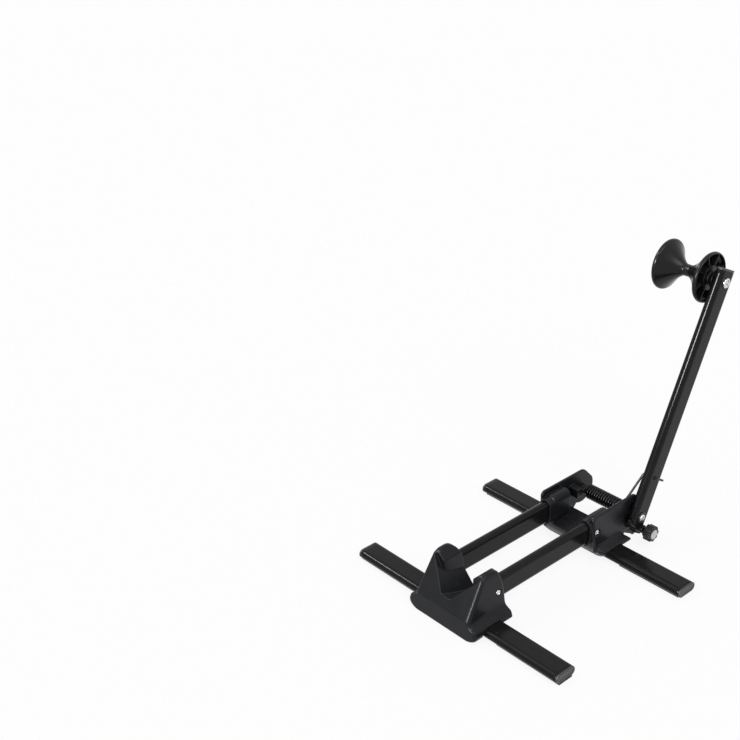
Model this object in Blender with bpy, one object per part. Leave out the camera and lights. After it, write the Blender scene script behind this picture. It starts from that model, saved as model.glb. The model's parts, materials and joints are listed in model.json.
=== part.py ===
"""Floor stand with a V cradle at one end and a sprung roller arm at the other.

Two flat-oval feet lie across the floor and two flat-oval rails run fore and aft between them. A moulded cradle
with a V trough joins them at the front, and a moulded housing joins them at the rear. A leaning arm turns on a
bolt through the housing, wound by a torsion spring, and carries an hourglass roller in line with the trough.

Axes: +X is the side that carries the arm, -Y is the cradle end, +Z is up. Lengths are in metres. The origin is on
the floor, in the middle of the stand's width and length.
"""

from math import acos, atan2, cos, hypot, pi, radians, sin, sqrt

import bmesh
import bpy
from mathutils import Quaternion, Vector

MM = 0.001

# Fits
FIT = 0.3 * MM
WALL_OVERLAP = 0.5 * MM

# Flat-oval tube that the feet, the rails and the arm are cut from
TUBE_WIDTH = 36.0 * MM
TUBE_THICKNESS = 14.2 * MM
TUBE_WALL = 1.4 * MM

# Layout
STAND_WIDTH = 375.0 * MM
FOOT_SPACING = 262.7 * MM
CRADLE_OVERHANG = 37.5 * MM
PIVOT_SETBACK = 52.5 * MM
PIVOT_HEIGHT = 47.5 * MM
RAIL_SPACING = 74.6 * MM
RAIL_HEIGHT = 51.2 * MM
ARM_PLANE = 58.2 * MM
ARM_LEAN = radians(23.46)
ARM_REACH = 363.1 * MM
ARM_BEYOND_AXLE = 19.4 * MM

# Circle that the trough's floor follows
TROUGH_RADIUS = 341.0 * MM
TROUGH_CENTRE_AHEAD = 152.9 * MM
TROUGH_CENTRE_HEIGHT = 354.6 * MM

# Feet, their caps and pads
PAD_THICKNESS = 2.0 * MM
PAD_WIDTH = 26.0 * MM
PAD_INNER_END = 79.0 * MM
REAR_PAD_SHORT = 5.0 * MM
CAP_FLANGE = 3.0 * MM
CAP_PLUG = 13.0 * MM
CAP_PLUG_WALL = 2.0 * MM
ARM_PLUG = 8.0 * MM

# Cradle
CRADLE_LENGTH = 75.5 * MM
CRADLE_TOP = 89.0 * MM
CRADLE_FLOOR_GAP = 0.6 * MM
CRADLE_FOLD_HEIGHT = 30.0 * MM
CRADLE_LEAN = 0.545
TOWER_INNER_TOP = 75.0 * MM
TOWER_TOP_SLOPE = 1.07
MOULDING_HALF_WIDTH = 50.2 * MM
LIP_HALF_WIDTH = 60.0 * MM
LIP_TOP = 20.3 * MM
LIP_BOTTOM = 11.0 * MM
TROUGH_FLOOR = 16.0 * MM
TROUGH_WIDTH = 54.0 * MM
MOUTH_WIDTH = 84.0 * MM
MOUTH_DEPTH = 31.0 * MM
TROUGH_SLOPE = 1.27
FRONT_WALL = 4.6 * MM

# Housing
HOUSING_TOP = 80.5 * MM
HOUSING_FRONT = 34.2 * MM
HOUSING_SKIN = 4.7 * MM
POCKET_RADIUS = 25.1 * MM
POCKET_DEPTH = 1.6 * MM
POCKET_LAND = 0.7 * MM
CHEEK_EDGE = 2.2 * MM
COLLAR_WALL = 3.4 * MM
COLLAR_LENGTH = 12.0 * MM
RAIL_GRIP = 30.0 * MM
SLEEVE_RISE = 5.6 * MM
SLEEVE_WALL = 3.6 * MM
WEB_LENGTH = 57.0 * MM
LUG_LENGTH = 12.0 * MM
LUG_HEIGHT = 14.0 * MM
LUG_AHEAD_OF_PIVOT = 22.0 * MM
RAIL_STOP_WALL = 3.6 * MM

# Fasteners
RAIL_SCREW_DIAMETER = 4.0 * MM
RAIL_SCREW_HEAD = 8.0 * MM
RAIL_SCREW_HEAD_HEIGHT = 2.2 * MM
RAIL_SCREW_LENGTH = 12.0 * MM
SCREW_RECESS = 10.0 * MM
SCREW_RECESS_DEPTH = 2.8 * MM
FOOT_SCREW_DIAMETER = 4.0 * MM
FOOT_SCREW_HEAD = 8.0 * MM
FOOT_SCREW_HEAD_HEIGHT = 2.0 * MM
FOOT_SCREW_SINK = 0.4 * MM
FOOT_SCREW_LENGTH = 22.0 * MM
FOOT_SCREW_SPREAD = 44.0 * MM

# Pivot
PIVOT_BOLT = 8.0 * MM
PIVOT_HEAD = 10.6 * MM
PIVOT_HEAD_HEIGHT = 3.2 * MM
BUSH_BARREL = 14.0 * MM
BUSH_FLANGE = 17.0 * MM
BUSH_FLANGE_THICKNESS = 1.2 * MM
PIVOT_WASHER = 22.0 * MM
PIVOT_WASHER_THICKNESS = 0.6 * MM
PIVOT_BOSS = 24.0 * MM
SLEEVE_DIAMETER = 14.0 * MM
NUT_THICKNESS = 6.5 * MM
NUT_ACROSS_FLATS = 13.0 * MM
NUT_WASHER = 17.0 * MM
NUT_WASHER_THICKNESS = 1.6 * MM

# Torsion spring
WIRE = 3.5 * MM
COIL_RADIUS = 9.75 * MM
COIL_PITCH = 4.3 * MM
COIL_TURNS = 15
POINTS_PER_TURN = 9
LEG_HOLE = 6.0 * MM
LEG_HOLE_HEIGHT = 63.0 * MM
LEG_HOLE_OFFSET = -4.0 * MM
LEG_BEND = 4.0 * MM
LEG_TAIL = 22.0 * MM
ANCHOR_DEPTH = 9.0 * MM

# Roller
ROLLER_RADIUS = 38.5 * MM
ROLLER_WIDTH = 76.8 * MM
ROLLER_OFFSET = 1.9 * MM
ROLLER_NECK = 9.0 * MM
ROLLER_NECK_LENGTH = 8.0 * MM
ROLLER_RIM = 6.4 * MM
ROLLER_RIM_RING = 3.2 * MM
ROLLER_RECESS = 1.6 * MM
ROLLER_WALL = 3.2 * MM
ROLLER_CORE = 11.6 * MM
ROLLER_HUB = 12.5 * MM
ROLLER_RIBS = 8
ROLLER_RIB_THICKNESS = 2.4 * MM
AXLE_DIAMETER = 10.0 * MM
AXLE_HEAD = 15.0 * MM
AXLE_HEAD_HEIGHT = 3.4 * MM
ROLLER_BUSH_DIAMETER = 16.0 * MM
ROLLER_BUSH_LENGTH = 14.0 * MM
SPACER_DIAMETER = 30.0 * MM
AXLE_NUT_THICKNESS = 6.0 * MM
AXLE_NUT_ACROSS_FLATS = 15.0 * MM

# Knob
KNOB_SETBACK = 8.5 * MM
KNOB_DROP = 25.0 * MM
KNOB_RADIUS = 11.6 * MM
KNOB_LENGTH = 13.0 * MM
KNOB_LOBES = 8
KNOB_LOBE_DEPTH = 1.5 * MM
KNOB_HUB = 12.0 * MM
KNOB_HUB_LENGTH = 5.0 * MM
KNOB_BOSS = 13.0 * MM
KNOB_BOSS_LENGTH = 16.0 * MM
STUD_DIAMETER = 8.0 * MM
STUD_IN_BOSS = 18.0 * MM
INSERT_DIAMETER = 15.0 * MM
INSERT_THICKNESS = 1.2 * MM

# Stations worked out from the driving dimensions
ARM_TIP = ARM_REACH + ARM_BEYOND_AXLE
STAND_LENGTH = CRADLE_OVERHANG + FOOT_SPACING + PIVOT_SETBACK + ARM_REACH * sin(ARM_LEAN) + ROLLER_RADIUS
FRONT_Y = -STAND_LENGTH / 2
FRONT_FOOT_Y = FRONT_Y + CRADLE_OVERHANG
REAR_FOOT_Y = FRONT_FOOT_Y + FOOT_SPACING
PIVOT_Y = REAR_FOOT_Y + PIVOT_SETBACK
CRADLE_REAR_Y = FRONT_Y + CRADLE_LENGTH
TROUGH_CENTRE_Y = REAR_FOOT_Y - TROUGH_CENTRE_AHEAD
FOOT_BOTTOM = PAD_THICKNESS + FIT
FOOT_HEIGHT = FOOT_BOTTOM + TUBE_THICKNESS / 2
FOOT_TOP = FOOT_BOTTOM + TUBE_THICKNESS
FOOT_HALF_LENGTH = STAND_WIDTH / 2 - CAP_FLANGE - FIT
RAIL_X = RAIL_SPACING / 2
RAIL_OUTER = RAIL_X + TUBE_THICKNESS / 2
HOUSING_FRONT_Y = REAR_FOOT_Y - HOUSING_FRONT
RAIL_REAR_Y = HOUSING_FRONT_Y + RAIL_GRIP
RAIL_STOP_Y = RAIL_REAR_Y + FIT + RAIL_STOP_WALL
MOUTH_END_Y = FRONT_Y + MOUTH_DEPTH
RAIL_FRONT_Y = MOUTH_END_Y + 1.5 * MM
WEB_REAR_Y = HOUSING_FRONT_Y + WEB_LENGTH
ANCHOR_Y = PIVOT_Y - LUG_AHEAD_OF_PIVOT
SKIN_INNER = MOULDING_HALF_WIDTH - HOUSING_SKIN
BOSS_FACE = MOULDING_HALF_WIDTH - 0.2 * MM
ARM_INNER = ARM_PLANE - TUBE_THICKNESS / 2
ARM_OUTER = ARM_PLANE + TUBE_THICKNESS / 2
KNOB_Y = PIVOT_Y + KNOB_SETBACK
KNOB_Z = PIVOT_HEIGHT - KNOB_DROP
BOSS_END = MOULDING_HALF_WIDTH + KNOB_BOSS_LENGTH
COIL_HALF_LENGTH = COIL_TURNS * COIL_PITCH / 2


def clear_scene():
    for item in list(bpy.data.objects):
        bpy.data.objects.remove(item, do_unlink=True)


def material(name, colour, roughness, metallic=0.0):
    made = bpy.data.materials.new(name)
    made.use_nodes = True
    shader = made.node_tree.nodes["Principled BSDF"]
    shader.inputs["Base Color"].default_value = (*colour, 1.0)
    shader.inputs["Roughness"].default_value = roughness
    shader.inputs["Metallic"].default_value = metallic
    made.diffuse_color = (*colour, 1.0)
    return made


def empty(name, at=(0, 0, 0), turn_x=0.0, parent=None):
    made = bpy.data.objects.new(name, None)
    made.location = at
    made.rotation_euler = (turn_x, 0, 0)
    made.parent = parent
    bpy.context.scene.collection.objects.link(made)
    return made


def solid(name, shape, finish, parent=None, at=(0, 0, 0), sharp=35):
    """Turns a bmesh into a named object with its own material and smooth round faces."""
    bmesh.ops.remove_doubles(shape, verts=shape.verts, dist=1e-7)
    bmesh.ops.recalc_face_normals(shape, faces=shape.faces)
    mesh = bpy.data.meshes.new(name)
    shape.to_mesh(mesh)
    shape.free()
    mesh.shade_smooth()
    mesh.set_sharp_from_angle(angle=radians(sharp))
    made = bpy.data.objects.new(name, mesh)
    made.location = at
    made.parent = parent
    if finish is not None:
        mesh.materials.append(finish)
    bpy.context.scene.collection.objects.link(made)
    return made


def tool(name, shape, parent=None, at=(0, 0, 0)):
    """A helper solid for a Boolean, left out of the stand."""
    made = solid(name, shape, None, parent, at)
    made.hide_render = True
    made.display_type = "WIRE"
    return made


def combine(target, helper, operation):
    step = target.modifiers.new(helper.name, "BOOLEAN")
    step.operation = operation
    step.object = helper
    step.solver = "EXACT"


def cut(target, *helpers):
    for helper in helpers:
        combine(target, helper, "DIFFERENCE")


def add(target, *helpers):
    for helper in helpers:
        combine(target, helper, "UNION")


def on_axis(axis, u, v, along):
    """A point of an outline: axis X takes (u, v) as (y, z), axis Y as (x, z) and axis Z as (x, y)."""
    if axis == "X":
        return (along, u, v)
    if axis == "Y":
        return (u, along, v)
    return (u, v, along)


def prism(outline, axis, start, end, shape=None):
    """Extrudes a flat outline along an axis."""
    shape = shape or bmesh.new()
    face = shape.faces.new([shape.verts.new(on_axis(axis, u, v, start)) for u, v in outline])
    grown = bmesh.ops.extrude_face_region(shape, geom=[face])["geom"]
    moved = [item for item in grown if isinstance(item, bmesh.types.BMVert)]
    bmesh.ops.translate(shape, verts=moved, vec=on_axis(axis, 0, 0, end - start))
    return shape


def loft(rings, shape=None):
    """Skins closed rings of equal length and closes both ends."""
    shape = shape or bmesh.new()
    made = [[shape.verts.new(point) for point in ring] for ring in rings]
    for low, high in zip(made, made[1:]):
        for i in range(len(low)):
            j = (i + 1) % len(low)
            shape.faces.new((low[i], low[j], high[j], high[i]))
    shape.faces.new(made[0])
    shape.faces.new(made[-1])
    return shape


def turned(profile, steps, centre=(0, 0), shape=None, closed=False):
    """Spins a profile of (x, radius) points about the X direction through centre (y, z)."""
    shape = shape or bmesh.new()
    points = [shape.verts.new((x, centre[0] + radius, centre[1])) for x, radius in profile]
    pairs = list(zip(points, points[1:]))
    if closed:
        pairs.append((points[-1], points[0]))
    edges = [shape.edges.new(pair) for pair in pairs]
    bmesh.ops.spin(
        shape,
        geom=points + edges,
        cent=(0, centre[0], centre[1]),
        axis=(1, 0, 0),
        angle=2 * pi,
        steps=steps,
        use_merge=True,
    )
    bmesh.ops.remove_doubles(shape, verts=shape.verts, dist=1e-7)
    return shape


def rod(start, end, diameter, steps, centre=(0, 0), shape=None):
    radius = diameter / 2
    return turned([(start, 0), (start, radius), (end, radius), (end, 0)], steps, centre, shape)


def ring(start, end, outer, inner, steps, centre=(0, 0), shape=None):
    """A plain tube or washer along X, from its outer and inner diameters."""
    profile = [(start, outer / 2), (end, outer / 2), (end, inner / 2), (start, inner / 2)]
    return turned(profile, steps, centre, shape, closed=True)


def arc(centre, radius, start, end, steps):
    """Points along an arc; angles in degrees, anticlockwise from the first axis of the outline."""
    points = []
    for i in range(steps + 1):
        angle = radians(start + (end - start) * i / steps)
        points.append((centre[0] + radius * cos(angle), centre[1] + radius * sin(angle)))
    return points


def oval(width, thickness, centre=(0, 0), steps=8, upright=True):
    """Outline of a flat oval with full-round edges; its width stands up unless upright is false."""
    radius = thickness / 2
    offset = width / 2 - radius
    points = arc((0, offset), radius, 0, 180, steps) + arc((0, -offset), radius, 180, 360, steps)
    if not upright:
        points = [(-v, u) for u, v in points]
    return [(centre[0] + u, centre[1] + v) for u, v in points]


def rectangle(low, high):
    return [low, (high[0], low[1]), high, (low[0], high[1])]


def rounded_plan(half_width, front, rear, front_corner, rear_corner, steps=4):
    """Plan outline of a moulding at one height, with rounded corners."""
    points = arc((half_width - rear_corner, rear - rear_corner), rear_corner, 0, 90, steps)
    points += arc((-half_width + rear_corner, rear - rear_corner), rear_corner, 90, 180, steps)
    points += arc((-half_width + front_corner, front + front_corner), front_corner, 180, 270, steps)
    points += arc((half_width - front_corner, front + front_corner), front_corner, 270, 360, steps)
    return points


def blend(stops, height):
    """Reads a value at a height from a short list of (height, value) stops, in straight runs."""
    for (low, first), (high, second) in zip(stops, stops[1:]):
        if height <= high:
            return first + (second - first) * max(0.0, height - low) / (high - low)
    return stops[-1][1]


def hollow_tube(width, thickness, wall, centre, upright, axis, start, end, steps=8):
    """A flat-oval tube, open at both ends."""
    outer = oval(width, thickness, centre, steps, upright)
    inner = oval(width - 2 * wall, thickness - 2 * wall, centre, steps, upright)
    shape = bmesh.new()
    rings = [
        [shape.verts.new(on_axis(axis, u, v, along)) for u, v in outline]
        for outline, along in ((outer, start), (outer, end), (inner, end), (inner, start))
    ]
    for low, high in zip(rings, rings[1:] + rings[:1]):
        for i in range(len(low)):
            j = (i + 1) % len(low)
            shape.faces.new((low[i], low[j], high[j], high[i]))
    return shape


def feet(materials, root):
    """Two feet with an end cap and a rubber pad at each end."""
    for place, y in (("front", FRONT_FOOT_Y), ("rear", REAR_FOOT_Y)):
        shape = hollow_tube(
            TUBE_WIDTH, TUBE_THICKNESS, TUBE_WALL, (0, 0), False, "X", -FOOT_HALF_LENGTH, FOOT_HALF_LENGTH
        )
        foot = solid(f"{place}_foot", shape, materials["tube"], root, (0, y, FOOT_HEIGHT))
        for side, sign in (("left", -1), ("right", 1)):
            hole = tool(f"{place}_foot_hole_{side}", foot_screw_hole(sign), root, (0, y, FOOT_HEIGHT))
            cut(foot, hole)
            foot_cap(f"{place}_foot_cap_{side}", materials["cap"], root, y, sign)
            pad_end = STAND_WIDTH / 2 - (REAR_PAD_SHORT if place == "rear" else 0)
            foot_pad(f"{place}_foot_pad_{side}", materials["rubber"], root, y, sign, pad_end)


def foot_screw_hole(sign):
    """Clearance hole through a foot with its countersink underneath."""
    shape = bmesh.new()
    radius = FOOT_SCREW_DIAMETER / 2 + FIT
    sink = FOOT_SCREW_HEAD / 2 + FIT
    below = 1.2 * MM
    low = FOOT_SCREW_SINK - TUBE_THICKNESS / 2
    x = sign * FOOT_SCREW_SPREAD / 2
    rings = [
        (low - below, sink + below * (sink - radius) / FOOT_SCREW_HEAD_HEIGHT),
        (low + FOOT_SCREW_HEAD_HEIGHT, radius),
        (TUBE_THICKNESS / 2 + 1 * MM, radius),
    ]
    return loft([[(x + r * cos(a), r * sin(a), z) for a in turn_angles(16)] for z, r in rings], shape)


def turn_angles(steps):
    return [2 * pi * i / steps for i in range(steps)]


def foot_cap(name, finish, root, y, sign):
    """Oval cap: a flange over the tube's end and a hollow plug inside it."""
    seat = FOOT_HALF_LENGTH + FIT
    bore_width = TUBE_WIDTH - 2 * TUBE_WALL - 2 * FIT
    bore_thickness = TUBE_THICKNESS - 2 * TUBE_WALL - 2 * FIT
    edge = 1.0 * MM
    rings = [
        (seat - CAP_PLUG, bore_width, bore_thickness),
        (seat, bore_width, bore_thickness),
        (seat, TUBE_WIDTH, TUBE_THICKNESS),
        (seat + CAP_FLANGE - edge, TUBE_WIDTH, TUBE_THICKNESS),
        (seat + CAP_FLANGE - edge / 3, TUBE_WIDTH - edge * 0.6, TUBE_THICKNESS - edge * 0.6),
        (seat + CAP_FLANGE, TUBE_WIDTH - 2 * edge, TUBE_THICKNESS - 2 * edge),
    ]
    shape = loft([[(sign * x, u, v) for u, v in oval(w, t, upright=False)] for x, w, t in rings])
    cap = solid(name, shape, finish, root, (0, y, FOOT_HEIGHT))
    wall = CAP_PLUG_WALL
    inside = oval(bore_width - 2 * wall, bore_thickness - 2 * wall, steps=6, upright=False)
    hollow = prism(inside, "X", sign * (seat - CAP_PLUG - 1 * MM), sign * (seat - wall / 2))
    cut(cap, tool(name + "_hollow", hollow, root, (0, y, FOOT_HEIGHT)))


def foot_pad(name, finish, root, y, sign, end):
    """Rubber strip under the outer part of a foot, with softened lower edges."""
    edge = 0.5 * MM
    half = PAD_WIDTH / 2
    section = [
        (-half + edge, 0),
        (half - edge, 0),
        (half, edge),
        (half, PAD_THICKNESS),
        (-half, PAD_THICKNESS),
        (-half, edge),
    ]
    solid(name, prism(section, "X", sign * PAD_INNER_END, sign * end), finish, root, (0, y, 0))


def rails(materials, root):
    """Two upright flat-oval rails between the cradle and the housing."""
    for side, sign in (("left", -1), ("right", 1)):
        centre = (sign * RAIL_X, RAIL_HEIGHT)
        shape = hollow_tube(
            TUBE_WIDTH, TUBE_THICKNESS, TUBE_WALL, centre, True, "Y", RAIL_FRONT_Y, RAIL_REAR_Y
        )
        rail = solid(f"rail_{side}", shape, materials["tube"], root)
        for place, y in rail_screw_stations():
            inside = sign * RAIL_X
            hole = rod(inside, inside + sign * TUBE_THICKNESS, RAIL_SCREW_DIAMETER + 2 * FIT, 14, (y, RAIL_HEIGHT))
            cut(rail, tool(f"rail_{side}_{place}_hole", hole, root))


def rail_screw_stations():
    return (("cradle", CRADLE_REAR_Y - 16.5 * MM), ("housing", HOUSING_FRONT_Y + 3.0 * MM))


def rail_screws(materials, root):
    """Four pan-head screws, one through each moulding into each rail."""
    head = RAIL_SCREW_HEAD / 2
    shank = RAIL_SCREW_DIAMETER / 2
    seat = MOULDING_HALF_WIDTH - SCREW_RECESS_DEPTH + FIT
    profile = [
        (seat - RAIL_SCREW_LENGTH, 0),
        (seat - RAIL_SCREW_LENGTH, shank),
        (seat, shank),
        (seat, head),
        (seat + RAIL_SCREW_HEAD_HEIGHT * 0.5, head),
        (seat + RAIL_SCREW_HEAD_HEIGHT * 0.85, head * 0.75),
        (seat + RAIL_SCREW_HEAD_HEIGHT, head * 0.35),
        (seat + RAIL_SCREW_HEAD_HEIGHT, 0),
    ]
    for side, sign in (("left", -1), ("right", 1)):
        for place, y in rail_screw_stations():
            shape = turned([(sign * x, radius) for x, radius in profile], 14)
            solid(f"{place}_rail_screw_{side}", shape, materials["steel"], root, (0, y, RAIL_HEIGHT))


def foot_screws(materials, root):
    """Four countersunk screws, up through the feet into the mouldings."""
    head = FOOT_SCREW_HEAD / 2
    shank = FOOT_SCREW_DIAMETER / 2
    low = FOOT_BOTTOM + FOOT_SCREW_SINK
    rings = [(low, head), (low + FOOT_SCREW_HEAD_HEIGHT, shank), (low + FOOT_SCREW_LENGTH, shank)]
    for place, y in (("front", FRONT_FOOT_Y), ("rear", REAR_FOOT_Y)):
        for side, sign in (("left", -1), ("right", 1)):
            shape = loft([[(r * cos(a), r * sin(a), z) for a in turn_angles(14)] for z, r in rings])
            at = (sign * FOOT_SCREW_SPREAD / 2, y, 0)
            solid(f"{place}_foot_screw_{side}", shape, materials["steel"], root, at)


def moulding_cuts(name, foot_y, side_front, side_rear, root):
    """Cuts that both mouldings share: the saddle over the foot and its screw holes."""
    saddle = prism(
        oval(TUBE_WIDTH + 2 * FIT, TUBE_THICKNESS + 2 * FIT, (foot_y, FOOT_HEIGHT), 8, False),
        "X",
        -LIP_HALF_WIDTH - 10 * MM,
        LIP_HALF_WIDTH + 10 * MM,
    )
    reach = LIP_HALF_WIDTH + 10 * MM
    under = prism(rectangle((side_front, -5 * MM), (side_rear, LIP_BOTTOM)), "X", -reach, reach)
    made = [tool(name + "_saddle", saddle, root), tool(name + "_underside", under, root)]
    for side, sign in (("left", -1), ("right", 1)):
        x = sign * FOOT_SCREW_SPREAD / 2
        radius = FOOT_SCREW_DIAMETER / 2 + FIT
        top = FOOT_BOTTOM + FOOT_SCREW_LENGTH + 1.5 * MM
        hole = loft(
            [[(x + radius * cos(a), foot_y + radius * sin(a), z) for a in turn_angles(14)] for z in (0, top)]
        )
        made.append(tool(f"{name}_foot_screw_hole_{side}", hole, root))
    return made


def rail_socket(name, sign, start, end, root):
    """Blind oval socket for one rail."""
    outline = oval(TUBE_WIDTH + 2 * FIT, TUBE_THICKNESS + 2 * FIT, (sign * RAIL_X, RAIL_HEIGHT))
    return tool(name, prism(outline, "Y", start, end), root)


def screw_recess(name, sign, y, root):
    """Round recess for a pan head, with the clearance hole on to the rail."""
    outer = MOULDING_HALF_WIDTH + 5 * MM
    floor = MOULDING_HALF_WIDTH - SCREW_RECESS_DEPTH
    hole = RAIL_SCREW_DIAMETER / 2 + FIT
    profile = [
        (RAIL_X, 0),
        (RAIL_X, hole),
        (floor, hole),
        (floor, SCREW_RECESS / 2),
        (outer, SCREW_RECESS / 2 + 1.2 * MM),
        (outer, 0),
    ]
    return tool(name, turned([(sign * x, r) for x, r in profile], 20, (y, RAIL_HEIGHT)), root)


def curved_trough(name, half_width, front, rear, root):
    """Trough with sloping sides whose floor follows a large circle."""
    floor_half = TROUGH_FLOOR / 2
    side_radius = TROUGH_RADIUS - (half_width - floor_half) * TROUGH_SLOPE
    open_top = CRADLE_TOP + 30 * MM
    steps = 8
    rings = []
    for i in range(steps + 1):
        y = front + (rear - front) * i / steps
        floor = TROUGH_CENTRE_HEIGHT - sqrt(TROUGH_RADIUS**2 - (y - TROUGH_CENTRE_Y) ** 2)
        side = TROUGH_CENTRE_HEIGHT - sqrt(side_radius**2 - (y - TROUGH_CENTRE_Y) ** 2)
        section = [(-half_width, open_top), (-half_width, side), (-floor_half, floor)]
        section += [(-x, z) for x, z in reversed(section)]
        rings.append([(x, y, z) for x, z in section])
    return tool(name, loft(rings), root)


def cradle_rings():
    """Plan outlines of the cradle from its lower edge to the top of its towers."""
    lip = LIP_HALF_WIDTH
    wall = MOULDING_HALF_WIDTH
    low = CRADLE_FLOOR_GAP
    top = CRADLE_TOP
    widths = [
        (low, lip - 9 * MM),
        (low + 1.2 * MM, lip - 5 * MM),
        (low + 3.5 * MM, lip - 0.6 * MM),
        (low + 6.5 * MM, lip + 2.2 * MM),
        (LIP_BOTTOM + 1 * MM, lip + 3.4 * MM),
        (LIP_TOP - 2.4 * MM, lip + 1.6 * MM),
        (LIP_TOP, lip - 0.6 * MM),
        (LIP_TOP + 1.4 * MM, lip - 3.6 * MM),
        (LIP_TOP + 3.6 * MM, wall + 3 * MM),
        (LIP_TOP + 6.4 * MM, wall + 0.9 * MM),
        (CRADLE_FOLD_HEIGHT, wall),
        (top - 14 * MM, wall - 2.8 * MM),
        (top - 7 * MM, wall - 3.4 * MM),
        (top - 3 * MM, wall - 4.6 * MM),
        (top - 0.8 * MM, wall - 6.4 * MM),
        (top, wall - 8.6 * MM),
    ]
    rears = [
        (low, 0.6 * MM),
        (LIP_TOP, 0.0),
        (LIP_TOP + 4 * MM, -0.6 * MM),
        (45 * MM, -2.6 * MM),
        (60 * MM, -5 * MM),
        (top - 20 * MM, -7 * MM),
        (top - 10 * MM, -11.4 * MM),
        (top - 5 * MM, -15.6 * MM),
        (top - 2 * MM, -20 * MM),
        (top, -25 * MM),
    ]
    front_corners = [(low, 4 * MM), (LIP_TOP, 5 * MM), (CRADLE_FOLD_HEIGHT, 6 * MM), (top, 4.5 * MM)]
    rear_corners = [(low, 3 * MM), (LIP_TOP, 3 * MM), (CRADLE_FOLD_HEIGHT, 4 * MM), (top, 4.5 * MM)]
    heights = [height for height, _ in widths]
    wall_step = (top - 14 * MM - CRADLE_FOLD_HEIGHT) / 5
    heights += [CRADLE_FOLD_HEIGHT + wall_step * i for i in range(1, 5)]
    rings = []
    for height in sorted(heights):
        front = FRONT_Y + max(0.0, height - CRADLE_FOLD_HEIGHT) * CRADLE_LEAN
        front += max(0.0, height - top + 8 * MM) ** 2 * 0.12 / MM
        outline = rounded_plan(
            blend(widths, height),
            front,
            CRADLE_REAR_Y + blend(rears, height),
            blend(front_corners, height),
            blend(rear_corners, height),
        )
        rings.append([(x, y, height) for x, y in outline])
    return rings


def tower_slope(name, sign, root):
    """Cuts the inner top edge of a tower down towards the trough."""
    run = 30 * MM
    low = (TROUGH_WIDTH / 2 - 1 * MM, TOWER_INNER_TOP)
    outline = [
        (sign * low[0], low[1]),
        (sign * (low[0] + run), low[1] + run * TOWER_TOP_SLOPE),
        (sign * low[0], low[1] + run * TOWER_TOP_SLOPE),
    ]
    return tool(name, prism(outline, "Y", FRONT_Y, CRADLE_REAR_Y), root)


def front_cradle(materials, root):
    """Moulded cradle with the V trough, which holds both rails and the front foot."""
    cradle = solid("front_cradle", loft(cradle_rings()), materials["moulding"], root, sharp=30)
    behind_wall = FRONT_Y + CRADLE_OVERHANG - TUBE_WIDTH / 2 - 2.5 * MM
    cut(cradle, *moulding_cuts("cradle", FRONT_FOOT_Y, behind_wall, CRADLE_REAR_Y + 10 * MM, root))
    inner = LIP_HALF_WIDTH - FRONT_WALL - 3 * MM
    pocket = prism(
        rectangle((FRONT_Y + FRONT_WALL, -5 * MM), (behind_wall + 2 * MM, LIP_TOP + 3 * MM)), "X", -inner, inner
    )
    cut(cradle, tool("cradle_front_pocket", pocket, root))
    cut(
        cradle,
        curved_trough("cradle_trough", TROUGH_WIDTH / 2, FRONT_Y - 12 * MM, CRADLE_REAR_Y + 12 * MM, root),
        curved_trough("cradle_mouth", MOUTH_WIDTH / 2, FRONT_Y - 12 * MM, MOUTH_END_Y, root),
    )
    station = dict(rail_screw_stations())["cradle"]
    for side, sign in (("left", -1), ("right", 1)):
        cut(
            cradle,
            rail_socket(f"cradle_socket_{side}", sign, RAIL_FRONT_Y - FIT, CRADLE_REAR_Y + 20 * MM, root),
            screw_recess(f"cradle_recess_{side}", sign, station, root),
            tower_slope(f"cradle_tower_slope_{side}", sign, root),
        )


def housing_base_rings():
    """Plan outlines of the housing's skirt over the rear foot."""
    lip = LIP_HALF_WIDTH
    wall = MOULDING_HALF_WIDTH
    rear = PIVOT_Y - 16.5 * MM
    front = REAR_FOOT_Y - 22.5 * MM
    low = 5.0 * MM
    levels = [
        (low, lip - 9 * MM, 0.0, -3 * MM),
        (low + 1.4 * MM, lip - 5 * MM, -0.8 * MM, -2 * MM),
        (low + 3.6 * MM, lip - 2 * MM, -2.2 * MM, -1 * MM),
        (LIP_BOTTOM, lip - 0.8 * MM, -3.8 * MM, 1.6 * MM),
        (LIP_BOTTOM + 2 * MM, lip + 1 * MM, -5.2 * MM, 3.2 * MM),
        (LIP_BOTTOM + 4.6 * MM, lip + 1.8 * MM, -7 * MM, 2.0 * MM),
        (LIP_TOP - 2 * MM, lip + 1 * MM, -8.4 * MM, -1.6 * MM),
        (LIP_TOP, lip - 0.8 * MM, -9.4 * MM, -4.6 * MM),
        (LIP_TOP + 1.4 * MM, lip - 3.6 * MM, -10 * MM, -5.8 * MM),
        (LIP_TOP + 3.6 * MM, wall + 3 * MM, -10.8 * MM, -7.6 * MM),
        (LIP_TOP + 6.4 * MM, wall + 0.9 * MM, -11.6 * MM, -8.4 * MM),
        (LIP_TOP + 9 * MM, wall - 0.5 * MM, -12.2 * MM, -9 * MM),
    ]
    return [
        [(x, y, height) for x, y in rounded_plan(half_width, front + ahead, rear + behind, 8 * MM, 3 * MM)]
        for height, half_width, ahead, behind in levels
    ]


def cheek_outline():
    """Side view of one cheek: a leaning front edge, a flat top and a round end about the pivot."""
    pivot = (PIVOT_Y, PIVOT_HEIGHT)
    top = HOUSING_TOP
    front = HOUSING_FRONT_Y
    nose = 8.0 * MM
    points = [(front + 2 * MM, LIP_TOP - 5 * MM)]
    points += [(front, LIP_TOP + 6.5 * MM), (front - 4.0 * MM, 43 * MM), (front - 8.6 * MM, 62 * MM)]
    points += arc((front - 1.6 * MM, top - nose), nose, 172, 90, 5)
    points += arc((PIVOT_Y - 5 * MM, top - 16 * MM), 16 * MM, 90, 50, 4)
    points += arc(pivot, POCKET_RADIUS, 28, -118, 12)
    points.append((PIVOT_Y - 21 * MM, LIP_TOP - 5 * MM))
    return points


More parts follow.
